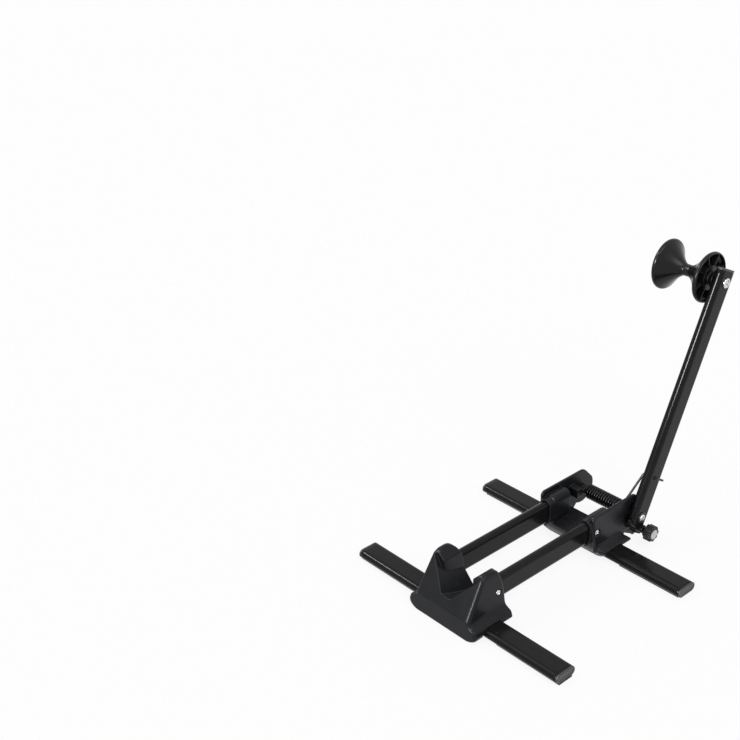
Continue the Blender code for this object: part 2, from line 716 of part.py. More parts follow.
def housing_cheek(name, sign, root):
    """One cheek of the housing, with a rounded outer rim."""
    shape = prism(cheek_outline(), "X", sign * SKIN_INNER, sign * MOULDING_HALF_WIDTH)
    rim = [e for e in shape.edges if all(abs(abs(v.co.x) - MOULDING_HALF_WIDTH) < 1e-6 for v in e.verts)]
    bmesh.ops.bevel(shape, geom=rim, offset=CHEEK_EDGE, segments=3, profile=0.5, affect="EDGES")
    return tool(name, shape, root)


def rail_sleeve(name, sign, root):
    """Thin collar round a rail, ahead of the housing's front edge."""
    centre = (sign * RAIL_X, RAIL_HEIGHT)
    collar = oval(TUBE_WIDTH + 2 * COLLAR_WALL, TUBE_THICKNESS + 2 * COLLAR_WALL, centre, 10)
    return tool(name, prism(collar, "Y", HOUSING_FRONT_Y - COLLAR_LENGTH, HOUSING_FRONT_Y + 4 * MM), root)


def housing_sleeve(name, sign, root):
    """Thicker sleeve that grips the rail's end inside the housing."""
    centre = (sign * RAIL_X, RAIL_HEIGHT)
    sleeve = oval(TUBE_WIDTH + 2 * SLEEVE_RISE, TUBE_THICKNESS + 2 * SLEEVE_WALL, centre, 10)
    return tool(name, prism(sleeve, "Y", HOUSING_FRONT_Y - 1 * MM, RAIL_STOP_Y), root)


def rear_housing(materials, root):
    """Moulded housing that holds both rails, the rear foot, the pivot and the knob."""
    housing = solid("rear_housing", loft(housing_base_rings()), materials["moulding"], root, sharp=30)
    reach = LIP_HALF_WIDTH + 10 * MM
    for side, sign in (("left", -1), ("right", 1)):
        add(
            housing,
            housing_cheek(f"housing_cheek_{side}", sign, root),
            rail_sleeve(f"housing_collar_{side}", sign, root),
            housing_sleeve(f"housing_sleeve_{side}", sign, root),
        )
    boss_outline = arc((KNOB_Y, KNOB_Z), KNOB_BOSS / 2, 0, 360, 24)[:-1]
    knob_boss = prism(boss_outline, "X", SKIN_INNER + 2 * WALL_OVERLAP, BOSS_END)
    add(housing, tool("housing_knob_boss", knob_boss, root))
    gusset = [
        (MOULDING_HALF_WIDTH - 4 * MM, KNOB_Z),
        (MOULDING_HALF_WIDTH - 4 * MM, KNOB_Z - 14 * MM),
        (MOULDING_HALF_WIDTH + 10 * MM, KNOB_Z - 10 * MM),
        (MOULDING_HALF_WIDTH + 12 * MM, KNOB_Z),
    ]
    rib = prism(gusset, "Y", KNOB_Y - 1.5 * MM, KNOB_Y + 1.5 * MM)
    add(housing, tool("housing_gusset", rib, root))
    root_outline = [(PIVOT_Y - 18 * MM, KNOB_Z + 6 * MM), (PIVOT_Y - 18 * MM, KNOB_Z - 2 * MM)]
    root_outline += arc((KNOB_Y - 1 * MM, KNOB_Z - 11 * MM), 5.5 * MM, 200, 320, 5)
    root_outline += arc((KNOB_Y, KNOB_Z), KNOB_BOSS / 2 + 1.5 * MM, -20, 60, 5)
    skin_root = prism(root_outline, "X", SKIN_INNER + WALL_OVERLAP, MOULDING_HALF_WIDTH - 0.8 * MM)
    add(housing, tool("housing_skin_root", skin_root, root))
    anchor_z = PIVOT_HEIGHT + COIL_RADIUS
    lug = prism(
        rectangle((ANCHOR_Y - LUG_LENGTH, anchor_z - LUG_HEIGHT / 2), (ANCHOR_Y, anchor_z + LUG_HEIGHT / 2)),
        "X",
        -SKIN_INNER - 1 * MM,
        -COIL_HALF_LENGTH + WIRE,
    )
    add(housing, tool("housing_anchor_lug", lug, root))
    front = REAR_FOOT_Y - TUBE_WIDTH / 2 - 1.5 * MM
    cut(housing, *moulding_cuts("housing", REAR_FOOT_Y, front, PIVOT_Y - 8 * MM, root))
    bay_half = SKIN_INNER - WALL_OVERLAP
    bay = prism(rectangle((WEB_REAR_Y, -5 * MM), (PIVOT_Y + 60 * MM, LIP_TOP + 20 * MM)), "X", -bay_half, bay_half)
    cut(housing, tool("housing_spring_bay", bay, root))
    station = dict(rail_screw_stations())["housing"]
    for side, sign in (("left", -1), ("right", 1)):
        cut(
            housing,
            rail_socket(f"housing_socket_{side}", sign, HOUSING_FRONT_Y - 30 * MM, RAIL_REAR_Y + FIT, root),
            screw_recess(f"housing_recess_{side}", sign, station, root),
            pivot_pocket(f"housing_pocket_{side}", sign, root),
        )
    stud_hole = rod(SKIN_INNER - 5 * MM, reach + 20 * MM, STUD_DIAMETER + 2 * FIT, 20, (KNOB_Y, KNOB_Z))
    cut(housing, tool("housing_stud_hole", stud_hole, root))
    anchor = prism(
        arc((-COIL_HALF_LENGTH, anchor_z), WIRE / 2 + FIT, 0, 360, 12)[:-1],
        "Y",
        ANCHOR_Y - ANCHOR_DEPTH - FIT,
        ANCHOR_Y + 5 * MM,
    )
    cut(housing, tool("housing_anchor_hole", anchor, root))


def pivot_pocket(name, sign, root):
    """Bolt hole and, on the outer face, a shallow round pocket that leaves a boss round it."""
    floor = MOULDING_HALF_WIDTH - POCKET_DEPTH
    outer = MOULDING_HALF_WIDTH + 5 * MM
    hole = PIVOT_BOLT / 2 + FIT
    rim = POCKET_RADIUS - CHEEK_EDGE - POCKET_LAND
    profile = [
        (SKIN_INNER - 5 * MM, 0),
        (SKIN_INNER - 5 * MM, hole),
        (BOSS_FACE, hole),
        (BOSS_FACE, PIVOT_BOSS / 2),
        (floor, PIVOT_BOSS / 2),
        (floor, rim),
        (outer, rim),
        (outer, 0),
    ]
    return tool(name, turned([(sign * x, r) for x, r in profile], 32, (PIVOT_Y, PIVOT_HEIGHT)), root)


def arm(materials, pivot):
    """Leaning arm with its plugs; its own Z runs from the pivot to the roller."""
    start = -TUBE_WIDTH / 2 - 1 * MM
    end = ARM_TIP - CAP_FLANGE - FIT
    shape = hollow_tube(TUBE_WIDTH, TUBE_THICKNESS, TUBE_WALL, (0, 0), True, "Z", start, end)
    bmesh.ops.translate(shape, verts=shape.verts, vec=(ARM_PLANE, 0, 0))
    tube = solid("arm_tube", shape, materials["tube"], pivot)
    cut(tube, end_round("arm_end_round", TUBE_WIDTH / 2 - 0.1 * MM, pivot))
    cut(
        tube,
        tool("arm_pivot_hole", rod(ARM_INNER - 5 * MM, ARM_OUTER + 5 * MM, BUSH_BARREL + 2 * FIT, 24), pivot),
        tool(
            "arm_axle_hole",
            rod(ARM_INNER - 5 * MM, ARM_OUTER + 5 * MM, AXLE_DIAMETER + 2 * FIT, 20, (0, ARM_REACH)),
            pivot,
        ),
        tool(
            "arm_leg_hole",
            rod(
                ARM_INNER - 5 * MM,
                ARM_OUTER + 5 * MM,
                LEG_HOLE,
                14,
                (LEG_HOLE_OFFSET, LEG_HOLE_HEIGHT),
            ),
            pivot,
        ),
    )
    arm_top_plug(materials, pivot)
    arm_end_plug(materials, pivot)


def end_round(name, radius, pivot):
    """Everything below the pivot and outside the arm's rounded end."""
    reach = TUBE_WIDTH
    shoulder = 0.4 * MM
    outline = [(-reach, shoulder)]
    outline += [(-radius - 0.6 * MM, shoulder)]
    outline += arc((0, 0), radius, 180, 360, 16)
    outline += [(radius + 0.6 * MM, shoulder), (reach, shoulder), (reach, -reach), (-reach, -reach)]
    return tool(name, prism(outline, "X", ARM_INNER - 5 * MM, ARM_OUTER + 5 * MM), pivot)


def arm_section(width, thickness, height):
    return [(ARM_PLANE + u, v, height) for u, v in oval(width, thickness)]


def arm_top_plug(materials, pivot):
    """Plug in the arm's upper end, with a thin flange over the tube."""
    seat = ARM_TIP - CAP_FLANGE
    width = TUBE_WIDTH - 2 * TUBE_WALL - 2 * FIT
    thickness = TUBE_THICKNESS - 2 * TUBE_WALL - 2 * FIT
    edge = 0.8 * MM
    plug = solid(
        "arm_top_plug",
        loft(
            [
                arm_section(width, thickness, seat - ARM_PLUG),
                arm_section(width, thickness, seat),
                arm_section(TUBE_WIDTH, TUBE_THICKNESS, seat),
                arm_section(TUBE_WIDTH, TUBE_THICKNESS, seat + CAP_FLANGE - edge),
                arm_section(TUBE_WIDTH - edge, TUBE_THICKNESS - edge, seat + CAP_FLANGE - edge * 0.2),
                arm_section(TUBE_WIDTH - 3 * edge, TUBE_THICKNESS - 3 * edge, seat + CAP_FLANGE),
            ]
        ),
        materials["cap"],
        pivot,
    )
    wall = CAP_PLUG_WALL
    hollow = loft(
        [
            arm_section(width - 2 * wall, thickness - 2 * wall, seat - ARM_PLUG - 1 * MM),
            arm_section(width - 2 * wall, thickness - 2 * wall, seat - wall / 2),
        ]
    )
    cut(plug, tool("arm_top_plug_hollow", hollow, pivot))


def arm_end_plug(materials, pivot):
    """Plug that closes the arm's rounded lower end round the pivot bush."""
    width = TUBE_WIDTH - 2 * TUBE_WALL - 2 * FIT
    thickness = TUBE_THICKNESS - 2 * TUBE_WALL - 2 * FIT
    shape = loft(
        [arm_section(width, thickness, -TUBE_WIDTH), arm_section(width, thickness, TUBE_WIDTH / 2 - 4 * MM)]
    )
    plug = solid("arm_end_plug", shape, materials["cap"], pivot)
    cut(plug, end_round("arm_end_plug_round", TUBE_WIDTH / 2 - 0.5 * MM, pivot))
    bore = rod(ARM_INNER - 5 * MM, ARM_OUTER + 5 * MM, BUSH_BARREL + 2 * FIT, 24)
    cut(plug, tool("arm_end_plug_bore", bore, pivot))


def pivot_hardware(materials, root, pivot):
    """Bolt, bush, washers and nut that the arm turns on."""
    washer_start = BOSS_FACE + FIT
    centre = (PIVOT_Y, PIVOT_HEIGHT)
    bore = PIVOT_BOLT + 2 * FIT
    washer = ring(washer_start, washer_start + PIVOT_WASHER_THICKNESS, PIVOT_WASHER, bore, 32, centre)
    solid("pivot_washer", washer, materials["nylon"], root)
    flange = ARM_OUTER + FIT
    sink = flange - 0.6 * MM
    head_fit = PIVOT_HEAD / 2 + 0.5 * MM
    barrel_start = washer_start + PIVOT_WASHER_THICKNESS + FIT
    bush = turned(
        [
            (barrel_start, BUSH_BARREL / 2),
            (flange, BUSH_BARREL / 2),
            (flange, BUSH_FLANGE / 2),
            (flange + BUSH_FLANGE_THICKNESS * 0.6, BUSH_FLANGE / 2),
            (flange + BUSH_FLANGE_THICKNESS, BUSH_FLANGE / 2 - 0.8 * MM),
            (flange + BUSH_FLANGE_THICKNESS, head_fit),
            (sink, head_fit),
            (sink, bore / 2),
            (barrel_start, bore / 2),
        ],
        32,
        closed=True,
    )
    solid("arm_pivot_bush", bush, materials["nylon"], pivot)
    head = sink + FIT
    shank_end = -(MOULDING_HALF_WIDTH + 2 * FIT + NUT_WASHER_THICKNESS + NUT_THICKNESS + 2 * MM)
    half = PIVOT_HEAD / 2
    bolt = turned(
        [
            (shank_end, 0),
            (shank_end, PIVOT_BOLT / 2 - 0.6 * MM),
            (shank_end + 0.6 * MM, PIVOT_BOLT / 2),
            (head, PIVOT_BOLT / 2),
            (head, half),
            (head + PIVOT_HEAD_HEIGHT * 0.6, half),
            (head + PIVOT_HEAD_HEIGHT, half - 1.2 * MM),
            (head + PIVOT_HEAD_HEIGHT, 2.6 * MM),
            (head + PIVOT_HEAD_HEIGHT - 1.8 * MM, 2.3 * MM),
            (head + PIVOT_HEAD_HEIGHT - 1.8 * MM, 0),
        ],
        24,
        centre,
    )
    solid("pivot_bolt", bolt, materials["steel"], root)
    outer_seat = -(BOSS_FACE + FIT)
    far_washer = ring(outer_seat, outer_seat - NUT_WASHER_THICKNESS, NUT_WASHER, bore, 24, centre)
    solid("pivot_nut_washer", far_washer, materials["steel"], root)
    nut_seat = outer_seat - NUT_WASHER_THICKNESS - FIT
    solid("pivot_nut", nut(nut_seat, -NUT_THICKNESS, NUT_ACROSS_FLATS, bore, centre), materials["steel"], root)
    sleeve = ring(-SKIN_INNER + FIT, SKIN_INNER - FIT, SLEEVE_DIAMETER, bore, 24, centre)
    solid("spring_sleeve", sleeve, materials["nylon"], root)


def nut(seat, thickness, across_flats, bore, centre):
    """Hexagon nut with its nylon ring's round shoulder."""
    corner = across_flats / 2 / cos(pi / 6)
    shape = bmesh.new()
    shoulder = across_flats / 2 - 0.6 * MM
    rings = []
    for x, size, hexagon in (
        (seat, corner, True),
        (seat + thickness * 0.7, corner, True),
        (seat + thickness * 0.72, shoulder, False),
        (seat + thickness, shoulder - 0.8 * MM, False),
        (seat + thickness, bore / 2, False),
        (seat, bore / 2, False),
    ):
        ring_points = []
        for a in turn_angles(24):
            reach = size
            if hexagon:
                part = (a + pi / 6) % (pi / 3) - pi / 6
                reach = across_flats / 2 / cos(pi / 6 - abs(part))
            ring_points.append(shape.verts.new((x, centre[0] + reach * cos(a), centre[1] + reach * sin(a))))
        rings.append(ring_points)
    for low, high in zip(rings, rings[1:] + rings[:1]):
        for i in range(len(low)):
            j = (i + 1) % len(low)
            shape.faces.new((low[i], low[j], high[j], high[i]))
    return shape


def spring_path():
    """Points of the torsion spring, in the arm's own axes: anchor tail, coil, leg and hook."""
    top = to_arm(0.0, COIL_RADIUS)
    tail = to_arm(ANCHOR_Y - ANCHOR_DEPTH - PIVOT_Y, COIL_RADIUS)
    points = [Vector((-COIL_HALF_LENGTH, *tail))]
    first = atan2(top[1], top[0])
    reach = hypot(LEG_HOLE_OFFSET, LEG_HOLE_HEIGHT)
    leave = atan2(LEG_HOLE_HEIGHT, LEG_HOLE_OFFSET) + acos(COIL_RADIUS / reach)
    last = leave - 2 * pi * COIL_TURNS
    count = round((first - last) / (2 * pi) * POINTS_PER_TURN)
    for i in range(count + 1):
        share = i / count
        angle = first + (last - first) * share
        x = -COIL_HALF_LENGTH + 2 * COIL_HALF_LENGTH * share
        points.append(Vector((x, COIL_RADIUS * cos(angle), COIL_RADIUS * sin(angle))))
    leg_end = Vector((ARM_INNER - LEG_BEND, LEG_HOLE_OFFSET, LEG_HOLE_HEIGHT))
    hook_x = ARM_OUTER + FIT + WIRE / 2
    corners = [
        points[-1],
        leg_end,
        Vector((hook_x, LEG_HOLE_OFFSET, LEG_HOLE_HEIGHT)),
        Vector((hook_x, LEG_HOLE_OFFSET + LEG_TAIL, LEG_HOLE_HEIGHT - 3 * MM)),
    ]
    points += rounded_path(corners, LEG_BEND)[1:]
    return points


def to_arm(y, z):
    """World offsets from the pivot, turned into the arm's own Y and Z."""
    return (y * cos(ARM_LEAN) - z * sin(ARM_LEAN), y * sin(ARM_LEAN) + z * cos(ARM_LEAN))


def rounded_path(corners, radius, steps=5):
    """Straight runs joined by round bends."""
    path = [corners[0]]
    for before, corner, after in zip(corners, corners[1:], corners[2:]):
        back = (before - corner).normalized()
        ahead = (after - corner).normalized()
        half = back.angle(ahead) / 2
        centre = corner + (back + ahead).normalized() * (radius / sin(half))
        spoke = corner + back * (radius * cos(half) / sin(half)) - centre
        turn_axis = back.cross(ahead).normalized()
        for i in range(steps + 1):
            turn = Quaternion(turn_axis, -(pi - 2 * half) * i / steps)
            path.append(centre + turn @ spoke)
    path.append(corners[-1])
    return path


def least_gap(points, diameter, apart):
    """Smallest clear distance between two stretches of a wire that are not neighbours along it."""
    lengths = [0.0]
    for a, b in zip(points, points[1:]):
        lengths.append(lengths[-1] + (b - a).length)
    least = 1.0
    for i, a in enumerate(points):
        for j in range(i + 1, len(points)):
            if lengths[j] - lengths[i] > apart:
                least = min(least, (points[j] - a).length - diameter)
    return least


def torsion_spring(materials, pivot):
    """Coil round the pivot sleeve, anchored in the housing and hooked through the arm."""
    points = spring_path()
    curve = bpy.data.curves.new("torsion_spring", "CURVE")
    curve.dimensions = "3D"
    curve.bevel_depth = WIRE / 2
    curve.bevel_resolution = 1
    curve.use_fill_caps = True
    line = curve.splines.new("POLY")
    line.points.add(len(points) - 1)
    for place, point in zip(line.points, points):
        place.co = (*point, 1.0)
    spring = bpy.data.objects.new("torsion_spring", curve)
    spring.parent = pivot
    curve.materials.append(materials["spring"])
    bpy.context.scene.collection.objects.link(spring)
    gap = least_gap(points, WIRE, COIL_RADIUS * 3)
    print(f"torsion_spring: least gap to itself {gap / MM:.2f} mm")


def roller_profile():
    """Half outline of the hourglass, from the rim's outer face to the middle of the neck."""
    half = ROLLER_WIDTH / 2
    flare_start = half - ROLLER_RIM
    flare_rim = ROLLER_RADIUS - 1.6 * MM
    points = [(half - 0.8 * MM, ROLLER_RADIUS - 0.6 * MM), (half - 1.6 * MM, ROLLER_RADIUS)]
    points += [(flare_start, ROLLER_RADIUS - 0.2 * MM)]
    steps = 7
    for i in range(steps + 1):
        share = i / steps
        x = flare_start - 0.6 * MM
        x -= (x - ROLLER_NECK_LENGTH / 2) * share
        rise = (x - ROLLER_NECK_LENGTH / 2) / (flare_start - ROLLER_NECK_LENGTH / 2)
        points.append((x, ROLLER_NECK + (flare_rim - ROLLER_NECK) * rise**1.45))
    return points


def dish_floor():
    """Inner face of the flare, where a dished face shows it, from the rim inwards."""
    outer = ROLLER_RADIUS - ROLLER_RIM_RING
    floor = []
    for x, radius in roller_profile()[3:]:
        below = radius - ROLLER_WALL
        if ROLLER_HUB + 1.5 * MM < below < outer - 1 * MM:
            floor.append((x, below))
    return floor


def roller(materials, axle):
    """Hourglass roller with ribbed, dished faces and a bored hub."""
    half = ROLLER_WIDTH / 2
    bore = ROLLER_BUSH_DIAMETER / 2 + FIT
    outer = ROLLER_RADIUS - ROLLER_RIM_RING
    floor = dish_floor()
    side = [(half, bore), (half, ROLLER_HUB), (floor[-1][0] - 1 * MM, ROLLER_HUB)]
    side += list(reversed(floor))
    side += [(floor[0][0] + 1.5 * MM, outer), (half, outer + 0.6 * MM), (half, ROLLER_RADIUS - 1.4 * MM)]
    side += roller_profile()
    outline = side + [(-x, radius) for x, radius in reversed(side)]
    seat_end = half - ROLLER_BUSH_LENGTH
    core = ROLLER_CORE / 2
    outline += [(-seat_end, bore), (-seat_end, core), (seat_end, core), (seat_end, bore)]
    body = solid("roller", turned(outline, 36, closed=True), materials["roller"], axle)
    for side_name, sign in (("left", -1), ("right", 1)):
        add(body, tool(f"roller_ribs_{side_name}", roller_ribs(sign), axle))


def roller_ribs(sign):
    """Radial ribs of one dished face, rooted in the hub, the flare and the rim."""
    top = ROLLER_WIDTH / 2 - ROLLER_RECESS
    root = 1.5 * MM
    floor = dish_floor()
    outline = [(top, ROLLER_HUB - root), (top, ROLLER_RADIUS - ROLLER_RIM_RING + root)]
    outline += [(floor[0][0] + 0.5 * MM, ROLLER_RADIUS - ROLLER_RIM_RING + root)]
    outline += [(x, radius + root) for x, radius in floor]
    outline += [(floor[-1][0] - 2.5 * MM, ROLLER_HUB - root)]
    shape = bmesh.new()
    half = ROLLER_RIB_THICKNESS / 2
    for angle in turn_angles(ROLLER_RIBS):
        rings = []
        for offset in (-half, half):
            rings.append(
                [
                    (sign * x, r * cos(angle) - offset * sin(angle), r * sin(angle) + offset * cos(angle))
                    for x, r in outline
                ]
            )
        loft(rings, shape)
    return shape


def roller_hardware(materials, pivot, axle):
    """Axle bolt, spacer, bushes, washers and nut that carry the roller."""
    half = ROLLER_WIDTH / 2
    bore = AXLE_DIAMETER + 2 * FIT
    bush_fit = ROLLER_BUSH_DIAMETER
    flange_thickness = 1.5 * MM
    for side, sign in (("left", -1), ("right", 1)):
        outer = half + FIT + flange_thickness
        profile = [
            (outer - flange_thickness - ROLLER_BUSH_LENGTH, bush_fit / 2),
            (half + FIT, bush_fit / 2),
            (half + FIT, bush_fit / 2 + 2.5 * MM),
            (outer, bush_fit / 2 + 2.5 * MM),
            (outer, bore / 2),
            (outer - flange_thickness - ROLLER_BUSH_LENGTH, bore / 2),
        ]
        bush = turned([(sign * x, r) for x, r in profile], 24, closed=True)
        solid(f"roller_bush_{side}", bush, materials["nylon"], axle)
    spacer_start = ROLLER_OFFSET + half + flange_thickness + 2 * FIT
    spacer_end = ARM_INNER - FIT
    spacer = turned(
        [
            (spacer_start, SPACER_DIAMETER / 2 - 5 * MM),
            (spacer_start + 2 * MM, SPACER_DIAMETER / 2 - 4.4 * MM),
            (spacer_end - 4 * MM, SPACER_DIAMETER / 2 - 1 * MM),
            (spacer_end - 2 * MM, SPACER_DIAMETER / 2),
            (spacer_end, SPACER_DIAMETER / 2),
            (spacer_end, bore / 2),
            (spacer_start, bore / 2),
        ],
        32,
        (0, ARM_REACH),
        closed=True,
    )
    solid("roller_spacer", spacer, materials["moulding"], pivot)
    head = ARM_OUTER + FIT
    far_seat = ROLLER_OFFSET - (half + flange_thickness + 2 * FIT)
    end = far_seat - NUT_WASHER_THICKNESS - AXLE_NUT_THICKNESS - 2 * FIT - 2 * MM
    bolt = turned(
        [
            (end, 0),
            (end, AXLE_DIAMETER / 2 - 0.8 * MM),
            (end + 0.8 * MM, AXLE_DIAMETER / 2),
            (head, AXLE_DIAMETER / 2),
            (head, AXLE_HEAD / 2),
            (head + AXLE_HEAD_HEIGHT * 0.45, AXLE_HEAD / 2),
            (head + AXLE_HEAD_HEIGHT * 0.8, AXLE_HEAD / 2 - 1.6 * MM),
            (head + AXLE_HEAD_HEIGHT, AXLE_HEAD / 2 - 3.8 * MM),
            (head + AXLE_HEAD_HEIGHT - 2 * MM, AXLE_HEAD / 2 - 4.2 * MM),
            (head + AXLE_HEAD_HEIGHT - 2 * MM, 0),
        ],
        24,
        (0, ARM_REACH),
    )
    solid("roller_axle_bolt", bolt, materials["steel"], pivot)
    washer = ring(far_seat, far_seat - NUT_WASHER_THICKNESS, NUT_WASHER + 4 * MM, bore, 24, (0, ARM_REACH))
    solid("roller_axle_washer", washer, materials["steel"], pivot)
    seat = far_seat - NUT_WASHER_THICKNESS - FIT
    far_nut = nut(seat, -AXLE_NUT_THICKNESS, AXLE_NUT_ACROSS_FLATS, bore, (0, ARM_REACH))
    solid("roller_axle_nut", far_nut, materials["steel"], pivot)


def knob(materials, root):
    """Lobed knob on a threaded stud, with a plain insert in its end."""
    turn = empty("knob_turn", (0, KNOB_Y, KNOB_Z), parent=root)
    hub_start = BOSS_END + FIT
    body_start = hub_start + KNOB_HUB_LENGTH
    body_end = body_start + KNOB_LENGTH
    stud_top = body_start + 7 * MM
    steps = KNOB_LOBES * 6

    def lobed(x, inset):
        points = []
        for a in turn_angles(steps):
            reach = KNOB_RADIUS - inset - KNOB_LOBE_DEPTH * (1 - cos(KNOB_LOBES * a)) / 2
            points.append((x, reach * cos(a), reach * sin(a)))
        return points

    def plain(x, diameter):
        return [(x, diameter / 2 * cos(a), diameter / 2 * sin(a)) for a in turn_angles(steps)]

    stud_fit = STUD_DIAMETER + 2 * FIT
    insert_fit = INSERT_DIAMETER + 2 * FIT
    floor = body_end - INSERT_THICKNESS - FIT + 0.5 * MM
    rings = [
        plain(hub_start, KNOB_HUB),
        plain(body_start, KNOB_HUB + 2 * MM),
        lobed(body_start, 1.6 * MM),
        lobed(body_start + 1.4 * MM, 0.0),
        lobed(body_end - 1.6 * MM, 0.0),
        lobed(body_end - 0.5 * MM, 0.7 * MM),
        lobed(body_end, 1.8 * MM),
        plain(body_end, insert_fit),
        plain(floor, insert_fit),
    ]
    body = solid("locking_knob", loft(rings), materials["knob"], turn)
    bore = rod(hub_start - 2 * MM, stud_top + FIT, stud_fit, 20)
    cut(body, tool("locking_knob_bore", bore, turn))
    stud = turned(
        [
            (SKIN_INNER - 2 * MM, 0),
            (SKIN_INNER - 2 * MM, STUD_DIAMETER / 2 - 1 * MM),
            (SKIN_INNER - 1 * MM, STUD_DIAMETER / 2),
            (stud_top, STUD_DIAMETER / 2),
            (stud_top, 0),
        ],
        20,
    )
    solid("knob_stud", stud, materials["steel"], turn)
    insert = turned(
        [
            (floor + FIT, 0),
            (floor + FIT, INSERT_DIAMETER / 2),
            (floor + FIT + INSERT_THICKNESS * 0.7, INSERT_DIAMETER / 2),
            (floor + FIT + INSERT_THICKNESS, INSERT_DIAMETER / 2 - 0.6 * MM),
            (floor + FIT + INSERT_THICKNESS, 0),
        ],
        32,
    )
    solid("knob_insert", insert, materials["insert"], turn)


def finishes():
    return {
        "tube": material("gloss_black_tube", (0.012, 0.012, 0.013), 0.18, 0.0),
        "moulding": material("matte_black_moulding", (0.016, 0.016, 0.019), 0.55),
        "cap": material("grey_black_cap", (0.05, 0.05, 0.052), 0.5),
        "rubber": material("black_rubber", (0.02, 0.02, 0.02), 0.85),
        "steel": material("zinc_steel", (0.62, 0.62, 0.62), 0.3, 1.0),
        "spring": material("black_spring_wire", (0.02, 0.02, 0.022), 0.4, 0.6),
        "nylon": material("black_nylon", (0.03, 0.03, 0.032), 0.5),
        "roller": material("black_roller", (0.018, 0.018, 0.02), 0.45),
        "knob": material("black_knob", (0.02, 0.02, 0.02), 0.5),
        "insert": material("grey_insert", (0.35, 0.35, 0.35), 0.45),
    }


def build():
    clear_scene()
    materials = finishes()
    root = empty("stand")
    feet(materials, root)
    rails(materials, root)
    front_cradle(materials, root)
    rear_housing(materials, root)
    rail_screws(materials, root)
    foot_screws(materials, root)
    pivot = empty("arm_pivot", (0, PIVOT_Y, PIVOT_HEIGHT), -ARM_LEAN, root)
    arm(materials, pivot)
    pivot_hardware(materials, root, pivot)
    torsion_spring(materials, pivot)
    axle = empty("roller_axle", (ROLLER_OFFSET, 0, ARM_REACH), parent=pivot)
    roller(materials, axle)
    roller_hardware(materials, pivot, axle)
    knob(materials, root)


build()
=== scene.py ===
"""Looks of the parking stand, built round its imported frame.

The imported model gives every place. Each class below is one sub-assembly: it builds the finer pieces
that stand for its CAD nodes, dresses them in their finish and makes them ride on the right body.
Lengths are in metres, +X is the side that carries the arm, -Y is the cradle end and +Z is up.
"""

import json
import logging
from collections.abc import Callable, Iterable, Sequence
from dataclasses import dataclass
from enum import Enum
from math import acos, atan2, cos, hypot, pi, radians, sin, tan

import bmesh
import bpy
from mathutils import Matrix, Quaternion, Vector


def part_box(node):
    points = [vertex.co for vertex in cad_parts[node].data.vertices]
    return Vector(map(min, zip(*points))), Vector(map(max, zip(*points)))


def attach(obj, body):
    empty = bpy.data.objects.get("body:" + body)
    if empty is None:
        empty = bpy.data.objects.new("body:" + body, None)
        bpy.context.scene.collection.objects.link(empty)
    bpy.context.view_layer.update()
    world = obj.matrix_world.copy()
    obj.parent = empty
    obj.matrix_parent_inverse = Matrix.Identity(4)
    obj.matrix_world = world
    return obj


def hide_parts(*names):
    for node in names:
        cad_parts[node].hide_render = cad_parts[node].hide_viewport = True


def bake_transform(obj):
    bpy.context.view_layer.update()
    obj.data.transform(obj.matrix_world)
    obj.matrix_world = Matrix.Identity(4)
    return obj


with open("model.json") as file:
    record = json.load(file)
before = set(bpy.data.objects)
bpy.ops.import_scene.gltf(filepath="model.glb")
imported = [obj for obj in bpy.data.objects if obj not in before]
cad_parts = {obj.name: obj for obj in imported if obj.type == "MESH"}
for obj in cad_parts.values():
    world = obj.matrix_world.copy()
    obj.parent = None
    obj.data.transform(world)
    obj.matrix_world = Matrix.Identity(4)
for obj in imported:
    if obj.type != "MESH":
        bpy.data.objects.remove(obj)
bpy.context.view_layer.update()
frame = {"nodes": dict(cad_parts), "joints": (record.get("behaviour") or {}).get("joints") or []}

MM = 0.001
FIT = 0.3 * MM
DUST_COLOUR = (0.32, 0.31, 0.29)

Point2 = tuple[float, float]
Point3 = tuple[float, float, float]
Corner = tuple[float, float, float]
Colour = tuple[float, float, float]
Sockets = dict[str, bpy.types.NodeSocket]

# Where the spring's leg goes through the arm, across it and along it from the pivot
LEG_HOLE_AT: Point2 = (-4.0 * MM, 63.0 * MM)

log = logging.getLogger("parking_stand")


class Body(Enum):
    """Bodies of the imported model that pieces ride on."""

    STAND = "stand"
    ARM = "arm"
    ROLLER = "roller"
    KNOB = "knob"


class Side(Enum):
    """The two sides of the stand, with the sign of their X."""

    LEFT = -1
    RIGHT = 1

    @property
    def word(self) -> str:
        """The side's name as the nodes spell it."""
        return self.name.lower()


class Foot(Enum):
    """The two feet, as the nodes name them."""

    FRONT = "front"
    REAR = "rear"


class Cutting(Enum):
    """What a Boolean does with its second shape."""

    CUT = "DIFFERENCE"
    ADD = "UNION"


# Outlines and meshes


def turn_angles(steps: int) -> list[float]:
    """Evenly spaced angles round a full turn.

    Args:
        steps: How many angles the turn has.

    Returns:
        The angles in radians, starting at 0.
    """
    return [2 * pi * i / steps for i in range(steps)]


